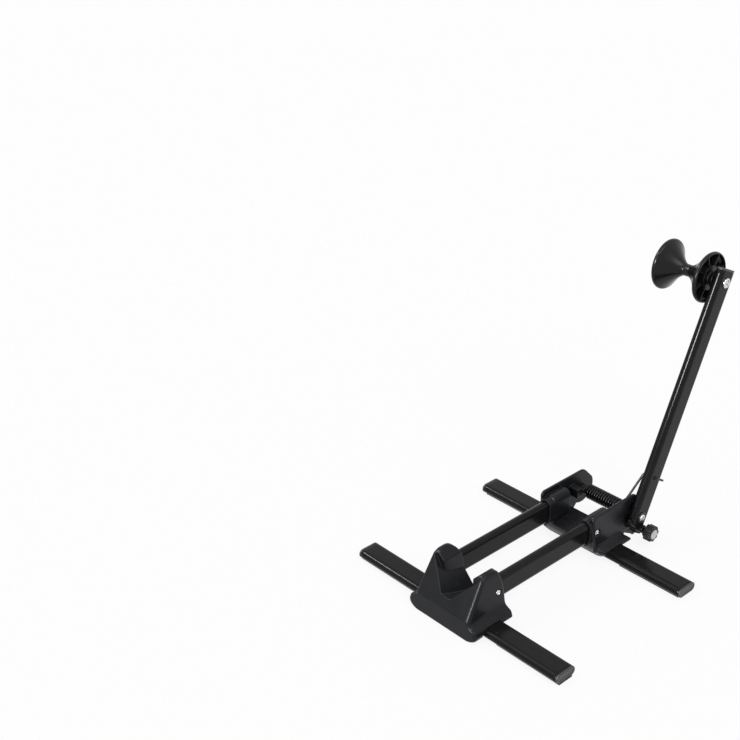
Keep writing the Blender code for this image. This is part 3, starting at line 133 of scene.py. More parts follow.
def filleted(corners: Sequence[Corner], closed: bool, steps: int = 5) -> list[Point2]:
    """Rounds the corners of an outline.

    Args:
        corners: Points with the radius of the round at each, 0 for a plain corner.
        closed: Whether the last point joins the first.
        steps: How many segments a round has.

    Returns:
        The outline's points.
    """
    points: list[Point2] = []
    count = len(corners)
    for i, (u, v, radius) in enumerate(corners):
        at_end = not closed and i in (0, count - 1)
        if radius <= 0 or at_end:
            points.append((u, v))
            continue
        here = Vector((u, v))
        back = Vector(corners[i - 1][:2]) - here
        ahead = Vector(corners[(i + 1) % count][:2]) - here
        half = back.angle(ahead) / 2
        reach = min(radius / tan(half), 0.49 * back.length, 0.49 * ahead.length)
        back.normalize()
        ahead.normalize()
        middle = here + (back + ahead).normalized() * (reach / cos(half))
        first = here + back * reach - middle
        last = here + ahead * reach - middle
        sweep = first.angle_signed(last)
        for step in range(steps + 1):
            spoke = first.copy()
            spoke.rotate(Matrix.Rotation(-sweep * step / steps, 2))
            points.append(tuple(middle + spoke))
    return points


def flat_oval(thickness: float, width: float, arc_steps: int = 20) -> list[Point2]:
    """Outline of a flat oval with full-round edges, in (thickness, width) axes.

    Args:
        thickness: Distance between the two flats.
        width: Distance over the two round edges.
        arc_steps: Segments in each round edge.

    Returns:
        The outline, anticlockwise, with spare points that keep the flats flat when they are shaded.
    """
    radius = thickness / 2
    straight = width / 2 - radius
    flat_shares = (0.04, 0.35, 0.65, 0.96)
    points = []
    for sign in (1, -1):
        for i in range(arc_steps + 1):
            angle = pi * i / arc_steps
            points.append((sign * radius * cos(angle), sign * (straight + radius * sin(angle))))
        for share in flat_shares:
            points.append((-sign * radius, sign * straight * (1 - 2 * share)))
    return points


def skin(rings: Sequence[Sequence[Point3]], ring_closed: bool = False) -> bmesh.types.BMesh:
    """Skins rings of equal length.

    Args:
        rings: The rings, in order.
        ring_closed: True where the last ring joins the first, as in a tube with a wall; otherwise both ends
            are closed with a face.

    Returns:
        A new bmesh.
    """
    shape = bmesh.new()
    made = [[shape.verts.new(point) for point in ring] for ring in rings]
    pairs = list(zip(made, made[1:]))
    if ring_closed:
        pairs.append((made[-1], made[0]))
    for low, high in pairs:
        for i in range(len(low)):
            j = (i + 1) % len(low)
            shape.faces.new((low[i], low[j], high[j], high[i]))
    if not ring_closed:
        shape.faces.new(made[0])
        shape.faces.new(made[-1])
    return shape


def revolve(outline: Sequence[Point2], steps: int, closed: bool = True) -> bmesh.types.BMesh:
    """Turns an outline of (x, radius) points about the X axis.

    Args:
        outline: The outline; an open one starts and ends on the axis.
        steps: Segments round the axis.
        closed: Whether the outline's last point joins its first.

    Returns:
        A new bmesh.
    """
    shape = bmesh.new()
    rings = []
    for x, radius in outline:
        if radius < 1e-7:
            rings.append([shape.verts.new((x, 0, 0))])
        else:
            rings.append([shape.verts.new((x, radius * cos(a), radius * sin(a))) for a in turn_angles(steps)])
    pairs = list(zip(rings, rings[1:]))
    if closed:
        pairs.append((rings[-1], rings[0]))
    for low, high in pairs:
        for i in range(steps):
            j = (i + 1) % steps
            corners = [low[i % len(low)], low[j % len(low)], high[j % len(high)], high[i % len(high)]]
            unique = list(dict.fromkeys(corners))
            if len(unique) > 2:
                shape.faces.new(unique)
    return shape


def to_mesh(shape: bmesh.types.BMesh, name: str, place: Matrix | None = None) -> bpy.types.Mesh:
    """Writes a bmesh into a mesh with outward faces.

    Args:
        shape: The bmesh, which is freed.
        name: The mesh's name.
        place: Matrix that moves the shape into the frame's axes, if it isn't there already.

    Returns:
        The new mesh.
    """
    bmesh.ops.remove_doubles(shape, verts=shape.verts, dist=1e-7)
    bmesh.ops.recalc_face_normals(shape, faces=shape.faces)
    mesh = bpy.data.meshes.new(name)
    shape.to_mesh(mesh)
    shape.free()
    if place is not None:
        mesh.transform(place)
    return mesh


def as_object(mesh: bpy.types.Mesh, name: str) -> bpy.types.Object:
    """Puts a mesh into the scene as an object at the origin.

    Args:
        mesh: The mesh.
        name: The object's name.

    Returns:
        The object.
    """
    made = bpy.data.objects.new(name, mesh)
    bpy.context.scene.collection.objects.link(made)
    return made


def evaluated_mesh(item: bpy.types.Object) -> bpy.types.Mesh:
    """Takes the mesh that an object's modifiers give, and removes the object.

    Args:
        item: An object with live modifiers.

    Returns:
        A plain mesh.
    """
    depsgraph = bpy.context.evaluated_depsgraph_get()
    result = bpy.data.meshes.new_from_object(item.evaluated_get(depsgraph))
    bpy.data.objects.remove(item, do_unlink=True)
    return result


def combined(mesh: bpy.types.Mesh, others: Iterable[bpy.types.Mesh], cutting: Cutting) -> bpy.types.Mesh:
    """Cuts or joins a mesh with others.

    Args:
        mesh: The mesh that is worked on.
        others: The second shapes, one after another.
        cutting: What is done with them.

    Returns:
        The new mesh.
    """
    target = as_object(mesh, "work")
    helpers = [as_object(other, "helper") for other in others]
    for helper in helpers:
        step = target.modifiers.new("step", "BOOLEAN")
        step.operation = cutting.value
        step.solver = "EXACT"
        step.object = helper
    result = evaluated_mesh(target)
    for helper in helpers:
        bpy.data.objects.remove(helper, do_unlink=True)
    return result


def softened_copy(node: str, voxel: float, rounds: int) -> bpy.types.Mesh:
    """Copies a CAD node's shape with an even skin and softly rounded edges, as a moulding has.

    Args:
        node: The CAD node.
        voxel: Size of the even skin's faces.
        rounds: How many smoothing passes soften the edges.

    Returns:
        The new mesh.
    """
    shape = bmesh.new()
    shape.from_mesh(frame["nodes"][node].data)
    bmesh.ops.remove_doubles(shape, verts=shape.verts, dist=1e-6)
    work = as_object(to_mesh(shape, node + "_work"), "work")
    even = work.modifiers.new("even_skin", "REMESH")
    even.mode = "VOXEL"
    even.voxel_size = voxel
    even.use_smooth_shade = True
    soft = work.modifiers.new("soft_edges", "SMOOTH")
    soft.factor = 0.5
    soft.iterations = rounds
    return evaluated_mesh(work)


def thinned(mesh: bpy.types.Mesh, most: int) -> bpy.types.Mesh:
    """Joins faces, the flattest stretches first, until a mesh of quads has at most a number of triangles.

    Args:
        mesh: The mesh.
        most: The number of triangles.

    Returns:
        The new mesh.
    """
    work = as_object(mesh, "work")
    fewer = work.modifiers.new("fewer_faces", "DECIMATE")
    fewer.ratio = min(1.0, most / (2 * len(mesh.polygons)))
    return evaluated_mesh(work)


# Geometry Nodes


class Recipe:
    """A Geometry Nodes tree with named inputs that ends in Realize Instances and Set Material."""

    def __init__(self, name: str) -> None:
        """Starts an empty tree.

        Args:
            name: The tree's name.
        """
        self.tree = bpy.data.node_groups.new(name, "GeometryNodeTree")
        self.sockets: dict[str, str] = {}
        self.tree.interface.new_socket("Geometry", in_out="INPUT", socket_type="NodeSocketGeometry")
        self.tree.interface.new_socket("Geometry", in_out="OUTPUT", socket_type="NodeSocketGeometry")
        self.inlet = self.tree.nodes.new("NodeGroupInput")
        self.outlet = self.tree.nodes.new("NodeGroupOutput")

    def named_input(self, label: str, kind: str) -> bpy.types.NodeSocket:
        """Adds a named input.

        Args:
            label: The input's name.
            kind: Its socket type.

        Returns:
            The socket that carries it inside the tree.
        """
        made = self.tree.interface.new_socket(label, in_out="INPUT", socket_type=kind)
        self.sockets[label] = made.identifier
        return self.inlet.outputs[label]

    def node(self, kind: str, **links: object) -> bpy.types.Node:
        """Adds a node and fills its inputs.

        Args:
            kind: The node's type.
            **links: Input names, with underscores for spaces, and a socket or a plain value for each.

        Returns:
            The node.
        """
        made = self.tree.nodes.new(kind)
        for label, value in links.items():
            socket = made.inputs[label.replace("_", " ")]
            if isinstance(value, bpy.types.NodeSocket):
                self.tree.links.new(value, socket)
            else:
                socket.default_value = value
        return made

    def close(self, geometry: bpy.types.NodeSocket) -> None:
        """Ends the tree in Realize Instances and Set Material.

        Args:
            geometry: The socket with the finished geometry.
        """
        finish = self.named_input("Finish", "NodeSocketMaterial")
        realised = self.node("GeometryNodeRealizeInstances", Geometry=geometry)
        dressed = self.node("GeometryNodeSetMaterial", Geometry=realised.outputs[0], Material=finish)
        self.tree.links.new(dressed.outputs[0], self.outlet.inputs[0])

    def cook(self, source: bpy.types.Mesh, **values: object) -> bpy.types.Mesh:
        """Runs the tree on a mesh.

        Args:
            source: The mesh that goes in.
            **values: Input names, with underscores for spaces, and their values.

        Returns:
            The plain mesh that comes out.
        """
        holder = as_object(source, "holder")
        modifier = holder.modifiers.new("recipe", "NODES")
        modifier.node_group = self.tree
        for label, value in values.items():
            modifier[self.sockets[label.replace("_", " ")]] = value
        return evaluated_mesh(holder)


def scatter_recipe() -> Recipe:
    """Tree that puts a copy of a piece at each point, turned by the point's own angles.

    Returns:
        The recipe, with the inputs Piece and Finish.
    """
    recipe = Recipe("scatter_fasteners")
    piece = recipe.named_input("Piece", "NodeSocketObject")
    info = recipe.node("GeometryNodeObjectInfo", Object=piece)
    turn = recipe.node("GeometryNodeInputNamedAttribute", Name="turn")
    turn.data_type = "FLOAT_VECTOR"
    placed = recipe.node(
        "GeometryNodeInstanceOnPoints",
        Points=recipe.inlet.outputs["Geometry"],
        Instance=info.outputs["Geometry"],
        Rotation=turn.outputs["Attribute"],
    )
    recipe.close(placed.outputs["Instances"])
    return recipe


def spokes_recipe() -> Recipe:
    """Tree that repeats a rib evenly round the X axis.

    Returns:
        The recipe, with the inputs Rib, Count and Finish.
    """
    recipe = Recipe("spoke_ribs")
    rib = recipe.named_input("Rib", "NodeSocketObject")
    count = recipe.named_input("Count", "NodeSocketInt")
    info = recipe.node("GeometryNodeObjectInfo", Object=rib)
    points = recipe.node("GeometryNodePoints", Count=count)
    index = recipe.node("GeometryNodeInputIndex")
    share = recipe.tree.nodes.new("ShaderNodeMath")
    share.operation = "DIVIDE"
    recipe.tree.links.new(index.outputs[0], share.inputs[0])
    recipe.tree.links.new(count, share.inputs[1])
    angle = recipe.tree.nodes.new("ShaderNodeMath")
    angle.operation = "MULTIPLY"
    recipe.tree.links.new(share.outputs[0], angle.inputs[0])
    angle.inputs[1].default_value = 2 * pi
    turn = recipe.node("ShaderNodeCombineXYZ", X=angle.outputs[0])
    placed = recipe.node(
        "GeometryNodeInstanceOnPoints",
        Points=points.outputs[0],
        Instance=info.outputs["Geometry"],
        Rotation=turn.outputs[0],
    )
    recipe.close(placed.outputs["Instances"])
    return recipe


def wire_recipe() -> Recipe:
    """Tree that draws a round wire along a line of edges.

    Returns:
        The recipe, with the inputs Wire Radius, Sides and Finish.
    """
    recipe = Recipe("drawn_wire")
    radius = recipe.named_input("Wire Radius", "NodeSocketFloat")
    sides = recipe.named_input("Sides", "NodeSocketInt")
    line = recipe.node("GeometryNodeMeshToCurve", Mesh=recipe.inlet.outputs["Geometry"])
    section = recipe.node("GeometryNodeCurvePrimitiveCircle", Resolution=sides, Radius=radius)
    drawn = recipe.node("GeometryNodeCurveToMesh", Curve=line.outputs[0])
    recipe.tree.links.new(section.outputs["Curve"], drawn.inputs["Profile Curve"])
    drawn.inputs["Fill Caps"].default_value = True
    recipe.close(drawn.outputs[0])
    return recipe


# Finishes


class Sheet:
    """A node tree of a material or a shader group, with short ways to add nodes and links."""

    def __init__(self, tree: bpy.types.NodeTree) -> None:
        """Wraps a tree.

        Args:
            tree: The tree to add nodes to.
        """
        self.tree = tree

    def node(
        self, kind: str, links: dict[str | int, object] | None = None, **settings: object
    ) -> bpy.types.Node:
        """Adds a node.

        Args:
            kind: The node's type.
            links: Inputs by name or number, and a socket or a plain value for each.
            **settings: The node's own properties.

        Returns:
            The node.
        """
        made = self.tree.nodes.new(kind)
        for label, value in settings.items():
            setattr(made, label, value)
        for label, value in (links or {}).items():
            if isinstance(value, bpy.types.NodeSocket):
                self.tree.links.new(value, made.inputs[label])
            else:
                made.inputs[label].default_value = value
        return made

    def math(self, operation: str, first: object, second: object = 0.0) -> bpy.types.NodeSocket:
        """Adds a Math node and returns its result."""
        return self.node("ShaderNodeMath", {0: first, 1: second}, operation=operation).outputs[0]

    def span(
        self, value: object, low: float, high: float, to_low: float, to_high: float
    ) -> bpy.types.NodeSocket:
        """Adds a clamped Map Range node and returns its result."""
        links = {"Value": value, "From Min": low, "From Max": high, "To Min": to_low, "To Max": to_high}
        return self.node("ShaderNodeMapRange", links).outputs["Result"]

    def tint(self, share: object, first: object, second: object) -> bpy.types.NodeSocket:
        """Adds a colour Mix node.

        Args:
            share: How much of the second colour there is, as a socket or a number.
            first: The first colour, as a socket or three numbers.
            second: The second colour, in the same way.

        Returns:
            The socket with the mixed colour.
        """
        made = self.node("ShaderNodeMix", data_type="RGBA")
        for index, value in ((0, share), (6, first), (7, second)):
            if isinstance(value, bpy.types.NodeSocket):
                self.tree.links.new(value, made.inputs[index])
            elif index == 0:
                made.inputs[index].default_value = value
            else:
                made.inputs[index].default_value = (*value, 1.0)
        return made.outputs[2]

    def noise(self, given: Sockets, detail: float, roughness: float) -> bpy.types.NodeSocket:
        """Adds a Noise Texture at a group's own Vector and Scale.

        Args:
            given: The group's inputs by name.
            detail: The noise's octaves.
            roughness: How much its fine octaves count.

        Returns:
            The socket with its value.
        """
        links = {"Vector": given["Vector"], "Scale": given["Scale"], "Detail": detail, "Roughness": roughness}
        return self.node("ShaderNodeTexNoise", links).outputs[0]


def effect_group(
    name: str, inputs: dict[str, float], draw: Callable[[Sheet, Sockets], bpy.types.NodeSocket]
) -> bpy.types.NodeTree:
    """Builds a shader group that several finishes use.

    Args:
        name: The group's name.
        inputs: Its number inputs with their defaults; a Vector input is always there.
        draw: Adds the group's nodes and returns the socket of its one output, Amount.

    Returns:
        The group.
    """
    tree = bpy.data.node_groups.new(name, "ShaderNodeTree")
    tree.interface.new_socket("Vector", in_out="INPUT", socket_type="NodeSocketVector")
    for label, default in inputs.items():
        number = tree.interface.new_socket(label, in_out="INPUT", socket_type="NodeSocketFloat")
        number.default_value = default
    tree.interface.new_socket("Amount", in_out="OUTPUT", socket_type="NodeSocketFloat")
    inlet = tree.nodes.new("NodeGroupInput")
    outlet = tree.nodes.new("NodeGroupOutput")
    result = draw(Sheet(tree), {socket.name: socket for socket in inlet.outputs})
    tree.links.new(result, outlet.inputs["Amount"])
    return tree


def draw_grain(sheet: Sheet, given: Sockets) -> bpy.types.NodeSocket:
    """Fine bumps of a moulded or sprayed surface: small cells over softer noise.

    Args:
        sheet: The group's tree.
        given: Its inputs by name: Vector, Scale and Pits.

    Returns:
        The height of the bumps.
    """
    noise = sheet.noise(given, 3.0, 0.6)
    links = {"Vector": given["Vector"], "Scale": given["Scale"]}
    cells = sheet.node("ShaderNodeTexVoronoi", links, feature="F1")
    pits = sheet.math("MULTIPLY", cells.outputs["Distance"], given["Pits"])
    return sheet.math("SUBTRACT", noise, pits)


def draw_drift(sheet: Sheet, given: Sockets) -> bpy.types.NodeSocket:
    """Slow drift of tone over a surface, from 0 to 1.

    Args:
        sheet: The group's tree.
        given: Its inputs by name: Vector and Scale.

    Returns:
        The drift.
    """
    return sheet.span(sheet.noise(given, 4.0, 0.55), 0.3, 0.7, 0.0, 1.0)


def draw_edge_wear(sheet: Sheet, given: Sockets) -> bpy.types.NodeSocket:
    """Broken-up mask along outer edges, where handling polishes a surface.

    Args:
        sheet: The group's tree.
        given: Its inputs by name: Vector, Start, Full and Scale.

    Returns:
        The mask.
    """
    pointed = sheet.node("ShaderNodeNewGeometry").outputs["Pointiness"]
    edge = sheet.span(pointed, given["Start"], given["Full"], 0.0, 1.0)
    broken = sheet.span(sheet.noise(given, 6.0, 0.7), 0.42, 0.62, 0.0, 1.0)
    return sheet.math("MULTIPLY", edge, broken)


def draw_dust(sheet: Sheet, given: Sockets) -> bpy.types.NodeSocket:
    """Thin, uneven dust on faces that look up when the stand is at rest.

    Args:
        sheet: The group's tree.
        given: Its inputs by name: Vector and Scale.

    Returns:
        The dust's mask.
    """
    normal = sheet.node("ShaderNodeTexCoord").outputs["Normal"]
    parts = sheet.node("ShaderNodeSeparateXYZ", {0: normal})
    upward = sheet.span(parts.outputs["Z"], 0.55, 1.0, 0.0, 1.0)
    patches = sheet.span(sheet.noise(given, 8.0, 0.75), 0.4, 0.75, 0.15, 1.0)
    return sheet.math("MULTIPLY", upward, patches)


def draw_scratches(sheet: Sheet, given: Sockets) -> bpy.types.NodeSocket:
    """Sparse hairlines that cross the surface in two directions.

    Args:
        sheet: The group's tree.
        given: Its inputs by name: Vector and Scale.

    Returns:
        The hairlines' mask.
    """
    lines = []
    for turn, stretch in ((0.35, (1.0, 0.04, 1.0)), (1.25, (0.05, 1.0, 1.0))):
        links = {"Vector": given["Vector"], "Rotation": (0.2, turn, turn), "Scale": stretch}
        mapped = sheet.node("ShaderNodeMapping", links).outputs[0]
        noise = sheet.noise({"Vector": mapped, "Scale": given["Scale"]}, 2.0, 0.5)
        lines.append(sheet.span(noise, 0.68, 0.74, 0.0, 1.0))
    return sheet.math("MAXIMUM", lines[0], lines[1])


@dataclass(frozen=True)
class Effects:
    """The shader groups that the finishes share."""

    grain: bpy.types.NodeTree
    drift: bpy.types.NodeTree
    edge_wear: bpy.types.NodeTree
    dust: bpy.types.NodeTree
    scratches: bpy.types.NodeTree

    @classmethod
    def build(cls) -> "Effects":
        """Builds every shared group once.

        Returns:
            The groups.
        """
        return cls(
            grain=effect_group("surface_grain", {"Scale": 1500.0, "Pits": 0.6}, draw_grain),
            drift=effect_group("tone_drift", {"Scale": 30.0}, draw_drift),
            edge_wear=effect_group("edge_wear", {"Start": 0.52, "Full": 0.6, "Scale": 260.0}, draw_edge_wear),
            dust=effect_group("settled_dust", {"Scale": 120.0}, draw_dust),
            scratches=effect_group("hairline_scratches", {"Scale": 420.0}, draw_scratches),
        )


@dataclass(frozen=True)
class Finish:
    """One finish, from its plain colour to its grain, wear and dust.

    The base values are what the shader shows where nothing has touched the surface.
    """

    slot: str
    colour: Colour
    worn_colour: Colour
    roughness: float
    roughness_drift: float = 0.06
    metallic: float = 0.0
    specular: float = 0.5
    coat: float = 0.0
    coat_roughness: float = 0.1
    grain_scale: float = 1500.0
    grain_pits: float = 0.6
    grain_depth: float = 0.02 * MM
    grain_strength: float = 0.3
    drift_scale: float = 30.0
    drift_share: float = 0.25
    wear_share: float = 0.4
    wear_start: float = 0.53
    wear_width: float = 0.08
    scratch_share: float = 0.1
    scratch_scale: float = 420.0
    scratch_dulling: float = 0.4
    dust_share: float = 0.03
    dust_dulling: float = 2.0

    def build(self, effects: Effects) -> bpy.types.Material:
        """Builds the finish as a material.

        Args:
            effects: The shared shader groups.

        Returns:
            The material.
        """
        made = bpy.data.materials.new(self.slot)
        made.use_nodes = True
        made.diffuse_color = (*self.colour, 1.0)
        sheet = Sheet(made.node_tree)
        shader = made.node_tree.nodes["Principled BSDF"]
        where = sheet.node("ShaderNodeTexCoord").outputs["Object"]

        def effect(group: bpy.types.NodeTree, **values: float) -> bpy.types.NodeSocket:
            """Places a shared group.

            Args:
                group: The group.
                **values: Its number inputs by name.

            Returns:
                The socket of its Amount.
            """
            placed = sheet.node("ShaderNodeGroup", node_tree=group)
            sheet.tree.links.new(where, placed.inputs["Vector"])
            for label, value in values.items():
                placed.inputs[label].default_value = value
            return placed.outputs["Amount"]

        drift = effect(effects.drift, Scale=self.drift_scale)
        wear = effect(effects.edge_wear, Start=self.wear_start, Full=self.wear_start + self.wear_width)
        dust = effect(effects.dust)
        scratches = effect(effects.scratches, Scale=self.scratch_scale)
        grain = effect(effects.grain, Scale=self.grain_scale, Pits=self.grain_pits)

        scuffed = sheet.math("MULTIPLY", scratches, self.scratch_share)
        dusty = sheet.math("MULTIPLY", dust, self.dust_share)
        deeper = tuple(value * (1 - self.drift_share) for value in self.colour)
        tone = sheet.tint(drift, deeper, self.colour)
        tone = sheet.tint(sheet.math("MULTIPLY", wear, self.wear_share), tone, self.worn_colour)
        tone = sheet.tint(scuffed, tone, self.worn_colour)
        tone = sheet.tint(dusty, tone, DUST_COLOUR)
        sheet.tree.links.new(tone, shader.inputs["Base Color"])

        smooth = self.roughness - self.roughness_drift
        dull = self.roughness + self.roughness_drift
        rough = sheet.span(drift, 0.0, 1.0, smooth, dull)
        rough = sheet.math("ADD", rough, sheet.math("MULTIPLY", scuffed, self.scratch_dulling))
        rough = sheet.math("ADD", rough, sheet.math("MULTIPLY", dusty, self.dust_dulling))
        sheet.tree.links.new(rough, shader.inputs["Roughness"])

        bump = sheet.node(
            "ShaderNodeBump", {"Height": grain, "Strength": self.grain_strength, "Distance": self.grain_depth}
        )
        sheet.tree.links.new(bump.outputs[0], shader.inputs["Normal"])
        shader.inputs["Metallic"].default_value = self.metallic
        shader.inputs["Specular IOR Level"].default_value = self.specular
        shader.inputs["Coat Weight"].default_value = self.coat
        shader.inputs["Coat Roughness"].default_value = self.coat_roughness
        return made


TUBE_COAT = Finish(
    slot="gloss_black_tube",
    colour=(0.0095, 0.0095, 0.0100),
    worn_colour=(0.035, 0.035, 0.036),
    roughness=0.15,
    roughness_drift=0.03,
    specular=0.11,
    grain_scale=260.0,
    grain_pits=0.1,
    grain_depth=0.01 * MM,
    grain_strength=0.02,
    scratch_share=0.12,
    dust_share=0.02,
)
MOULDING = Finish(
    slot="matte_black_moulding",
    colour=(0.0120, 0.0126, 0.0155),
    worn_colour=(0.075, 0.078, 0.088),
    roughness=0.31,
    roughness_drift=0.04,
    specular=0.14,
    grain_scale=1900.0,
    grain_depth=0.03 * MM,
    grain_strength=0.2,
    wear_share=0.35,
    wear_start=0.515,
    scratch_share=0.06,
)
CAP = Finish(
    slot="grey_black_cap",
    colour=(0.034, 0.034, 0.036),
    worn_colour=(0.11, 0.11, 0.112),
    roughness=0.46,
    grain_scale=1600.0,
    grain_depth=0.05 * MM,
)
RUBBER = Finish(
    slot="black_rubber",
    colour=(0.017, 0.017, 0.017),
    worn_colour=(0.05, 0.05, 0.05),
    roughness=0.82,
    specular=0.3,
    grain_scale=1100.0,
    grain_depth=0.12 * MM,
    grain_strength=0.5,
    scratch_share=0.03,
    dust_share=0.08,
)
STEEL = Finish(
    slot="zinc_steel",
    colour=(0.72, 0.72, 0.71),
    worn_colour=(0.9, 0.9, 0.89),
    roughness=0.24,
    roughness_drift=0.06,
    metallic=1.0,
    grain_scale=2600.0,
    grain_depth=0.015 * MM,
    grain_strength=0.25,
    drift_scale=240.0,
    drift_share=0.12,
    scratch_share=0.15,
    scratch_scale=900.0,
    dust_share=0.0,
)
WIRE_COAT = Finish(
    slot="black_spring_wire",
    colour=(0.0070, 0.0070, 0.0074),
    worn_colour=(0.08, 0.08, 0.08),
    roughness=0.2,
    specular=0.18,
    grain_scale=900.0,
    grain_depth=0.02 * MM,
    wear_start=0.54,
)
NYLON = Finish(
    slot="black_nylon",
    colour=(0.02, 0.02, 0.021),
    worn_colour=(0.07, 0.07, 0.072),
    roughness=0.45,
    grain_scale=1800.0,
    grain_depth=0.03 * MM,
)
ROLLER_SKIN = Finish(
    slot="black_roller",
    colour=(0.0100, 0.0100, 0.0108),
    worn_colour=(0.05, 0.05, 0.053),
    roughness=0.22,
    specular=0.2,
    grain_scale=1500.0,
    grain_depth=0.01 * MM,
    grain_strength=0.2,
    wear_share=0.25,
)
KNOB_SKIN = Finish(
    slot="black_knob",
    colour=(0.0120, 0.0120, 0.0125),
    worn_colour=(0.12, 0.12, 0.123),
    roughness=0.32,
    specular=0.25,
    grain_scale=1700.0,
    grain_depth=0.05 * MM,
    wear_share=0.5,
)
INSERT = Finish(
    slot="grey_insert",
    colour=(0.6, 0.6, 0.6),
    worn_colour=(0.6, 0.6, 0.6),
    roughness=0.4,
    grain_scale=1200.0,
    grain_depth=0.03 * MM,
    scratch_share=0.2,
)
FINISHES = (TUBE_COAT, MOULDING, CAP, RUBBER, STEEL, WIRE_COAT, NYLON, ROLLER_SKIN, KNOB_SKIN, INSERT)


# Screws, nuts and washers, drawn along X


def cross_recess(span: float, slot: float, depth: float, top: float) -> bpy.types.Mesh:
    """Cutter for the cross recess of a screw head, which points along +X.

    Args:
        span: Width of the cross at the top.
        slot: Width of one arm of the cross.
        depth: How deep it goes.
        top: Place of the head's top along X.

    Returns:
        The cutter's mesh.
    """
    rings = []
    above = 0.6 * MM
    for x, scale in ((top + above, 1.0 + above / depth * 0.5), (top - depth, 0.5)):
        long = span / 2 * scale
        thin = slot / 2 * (0.7 + 0.3 * scale)
        outline = [(long, -thin), (long, thin), (thin, thin)]
        quarter = []
        for turn in range(4):
            for u, v in outline:
                for _ in range(turn):
                    u, v = -v, u
                quarter.append((x, u, v))
        rings.append(quarter)
    return to_mesh(skin(rings), "cross")


def pan_head(
    diameter: float, height: float, shank: float, length: float, span: float, slot: float
) -> bpy.types.Mesh:
    """Pan-head screw along X, with its seat at 0, its head above it and its shank below.

    Args:
        diameter: Width of the head.
        height: Height of the head.
        shank: Diameter of the shank.
        length: Length of the shank.
        span: Width of the cross recess.
        slot: Width of one arm of the recess.

    Returns:
        The screw's mesh.
    """
    corners = [
        (-length, 0, 0),
        (-length, shank / 2 - 0.5 * MM, 0),
        (-length + 0.5 * MM, shank / 2, 0),
        (0, shank / 2, 0),
        (0, diameter / 2 - 0.15 * MM, 0.1 * MM),
        (0.15 * MM, diameter / 2, 0.1 * MM),
        (height * 0.55, diameter / 2, height * 0.35),
        (height, diameter / 2 * 0.62, diameter * 0.4),
        (height, 0, 0),
    ]
    body = to_mesh(revolve(filleted(corners, closed=False, steps=6), 64, closed=False), "screw")
    return combined(body, [cross_recess(span, slot, height * 0.75, height)], Cutting.CUT)


def hex_reach(angle: float, across_flats: float) -> float:
    """Distance from a hexagon's centre to its edge at an angle.

    Args:
        angle: The angle in radians.
        across_flats: The hexagon's width over its flats.

    Returns:
        The distance.
    """
    part = (angle + pi / 6) % (pi / 3) - pi / 6
    return across_flats / 2 / cos(pi / 6 - abs(part))


def lock_nut(across_flats: float, thickness: float, bore: float) -> bmesh.types.BMesh:
    """Hexagon nut along X from 0, with chamfered corners and a round collar over its nylon ring.

    Args:
        across_flats: Width over the flats.
        thickness: Height, collar included.
        bore: Diameter of the hole.

    Returns:
        A new bmesh.
    """
    steps = 96
    corner = across_flats / 2 / cos(pi / 6)
    flat = across_flats / 2
    hex_end = thickness * 0.7
    rings = []
    levels = [(0.0, flat + 0.15 * MM), (0.45 * MM, corner)]
    levels += [(hex_end - 0.8 * MM, corner), (hex_end, flat - 0.1 * MM)]
    for x, limit in levels:
        rings.append([(x, min(hex_reach(a, across_flats), limit), a) for a in turn_angles(steps)])
    collar = flat - 0.5 * MM
    for x, radius in (
        (hex_end + 0.1 * MM, collar),
        (thickness - 0.9 * MM, collar),
        (thickness - 0.3 * MM, collar - 0.3 * MM),
        (thickness, collar - 1.0 * MM),
        (thickness, bore / 2 + 0.8 * MM),
        (thickness - 0.8 * MM, bore / 2),
        (0.0, bore / 2),
    ):
        rings.append([(x, radius, a) for a in turn_angles(steps)])
    return skin([[(x, r * cos(a), r * sin(a)) for x, r, a in ring] for ring in rings], ring_closed=True)


def washer(outer: float, bore: float, thickness: float) -> bmesh.types.BMesh:
    """Flat washer along X from 0, with softly broken edges.

    Args:
        outer: Outer diameter.
        bore: Diameter of the hole.
        thickness: Its thickness.

    Returns:
        A new bmesh.
    """
    edge = min(0.25 * MM, thickness * 0.4)
    corners = [
        (0, outer / 2, edge),
        (thickness, outer / 2, edge),
        (thickness, bore / 2, edge / 2),
        (0, bore / 2, edge / 2),
    ]
    return revolve(filleted(corners, closed=True, steps=4), 96)


# What every sub-assembly shares


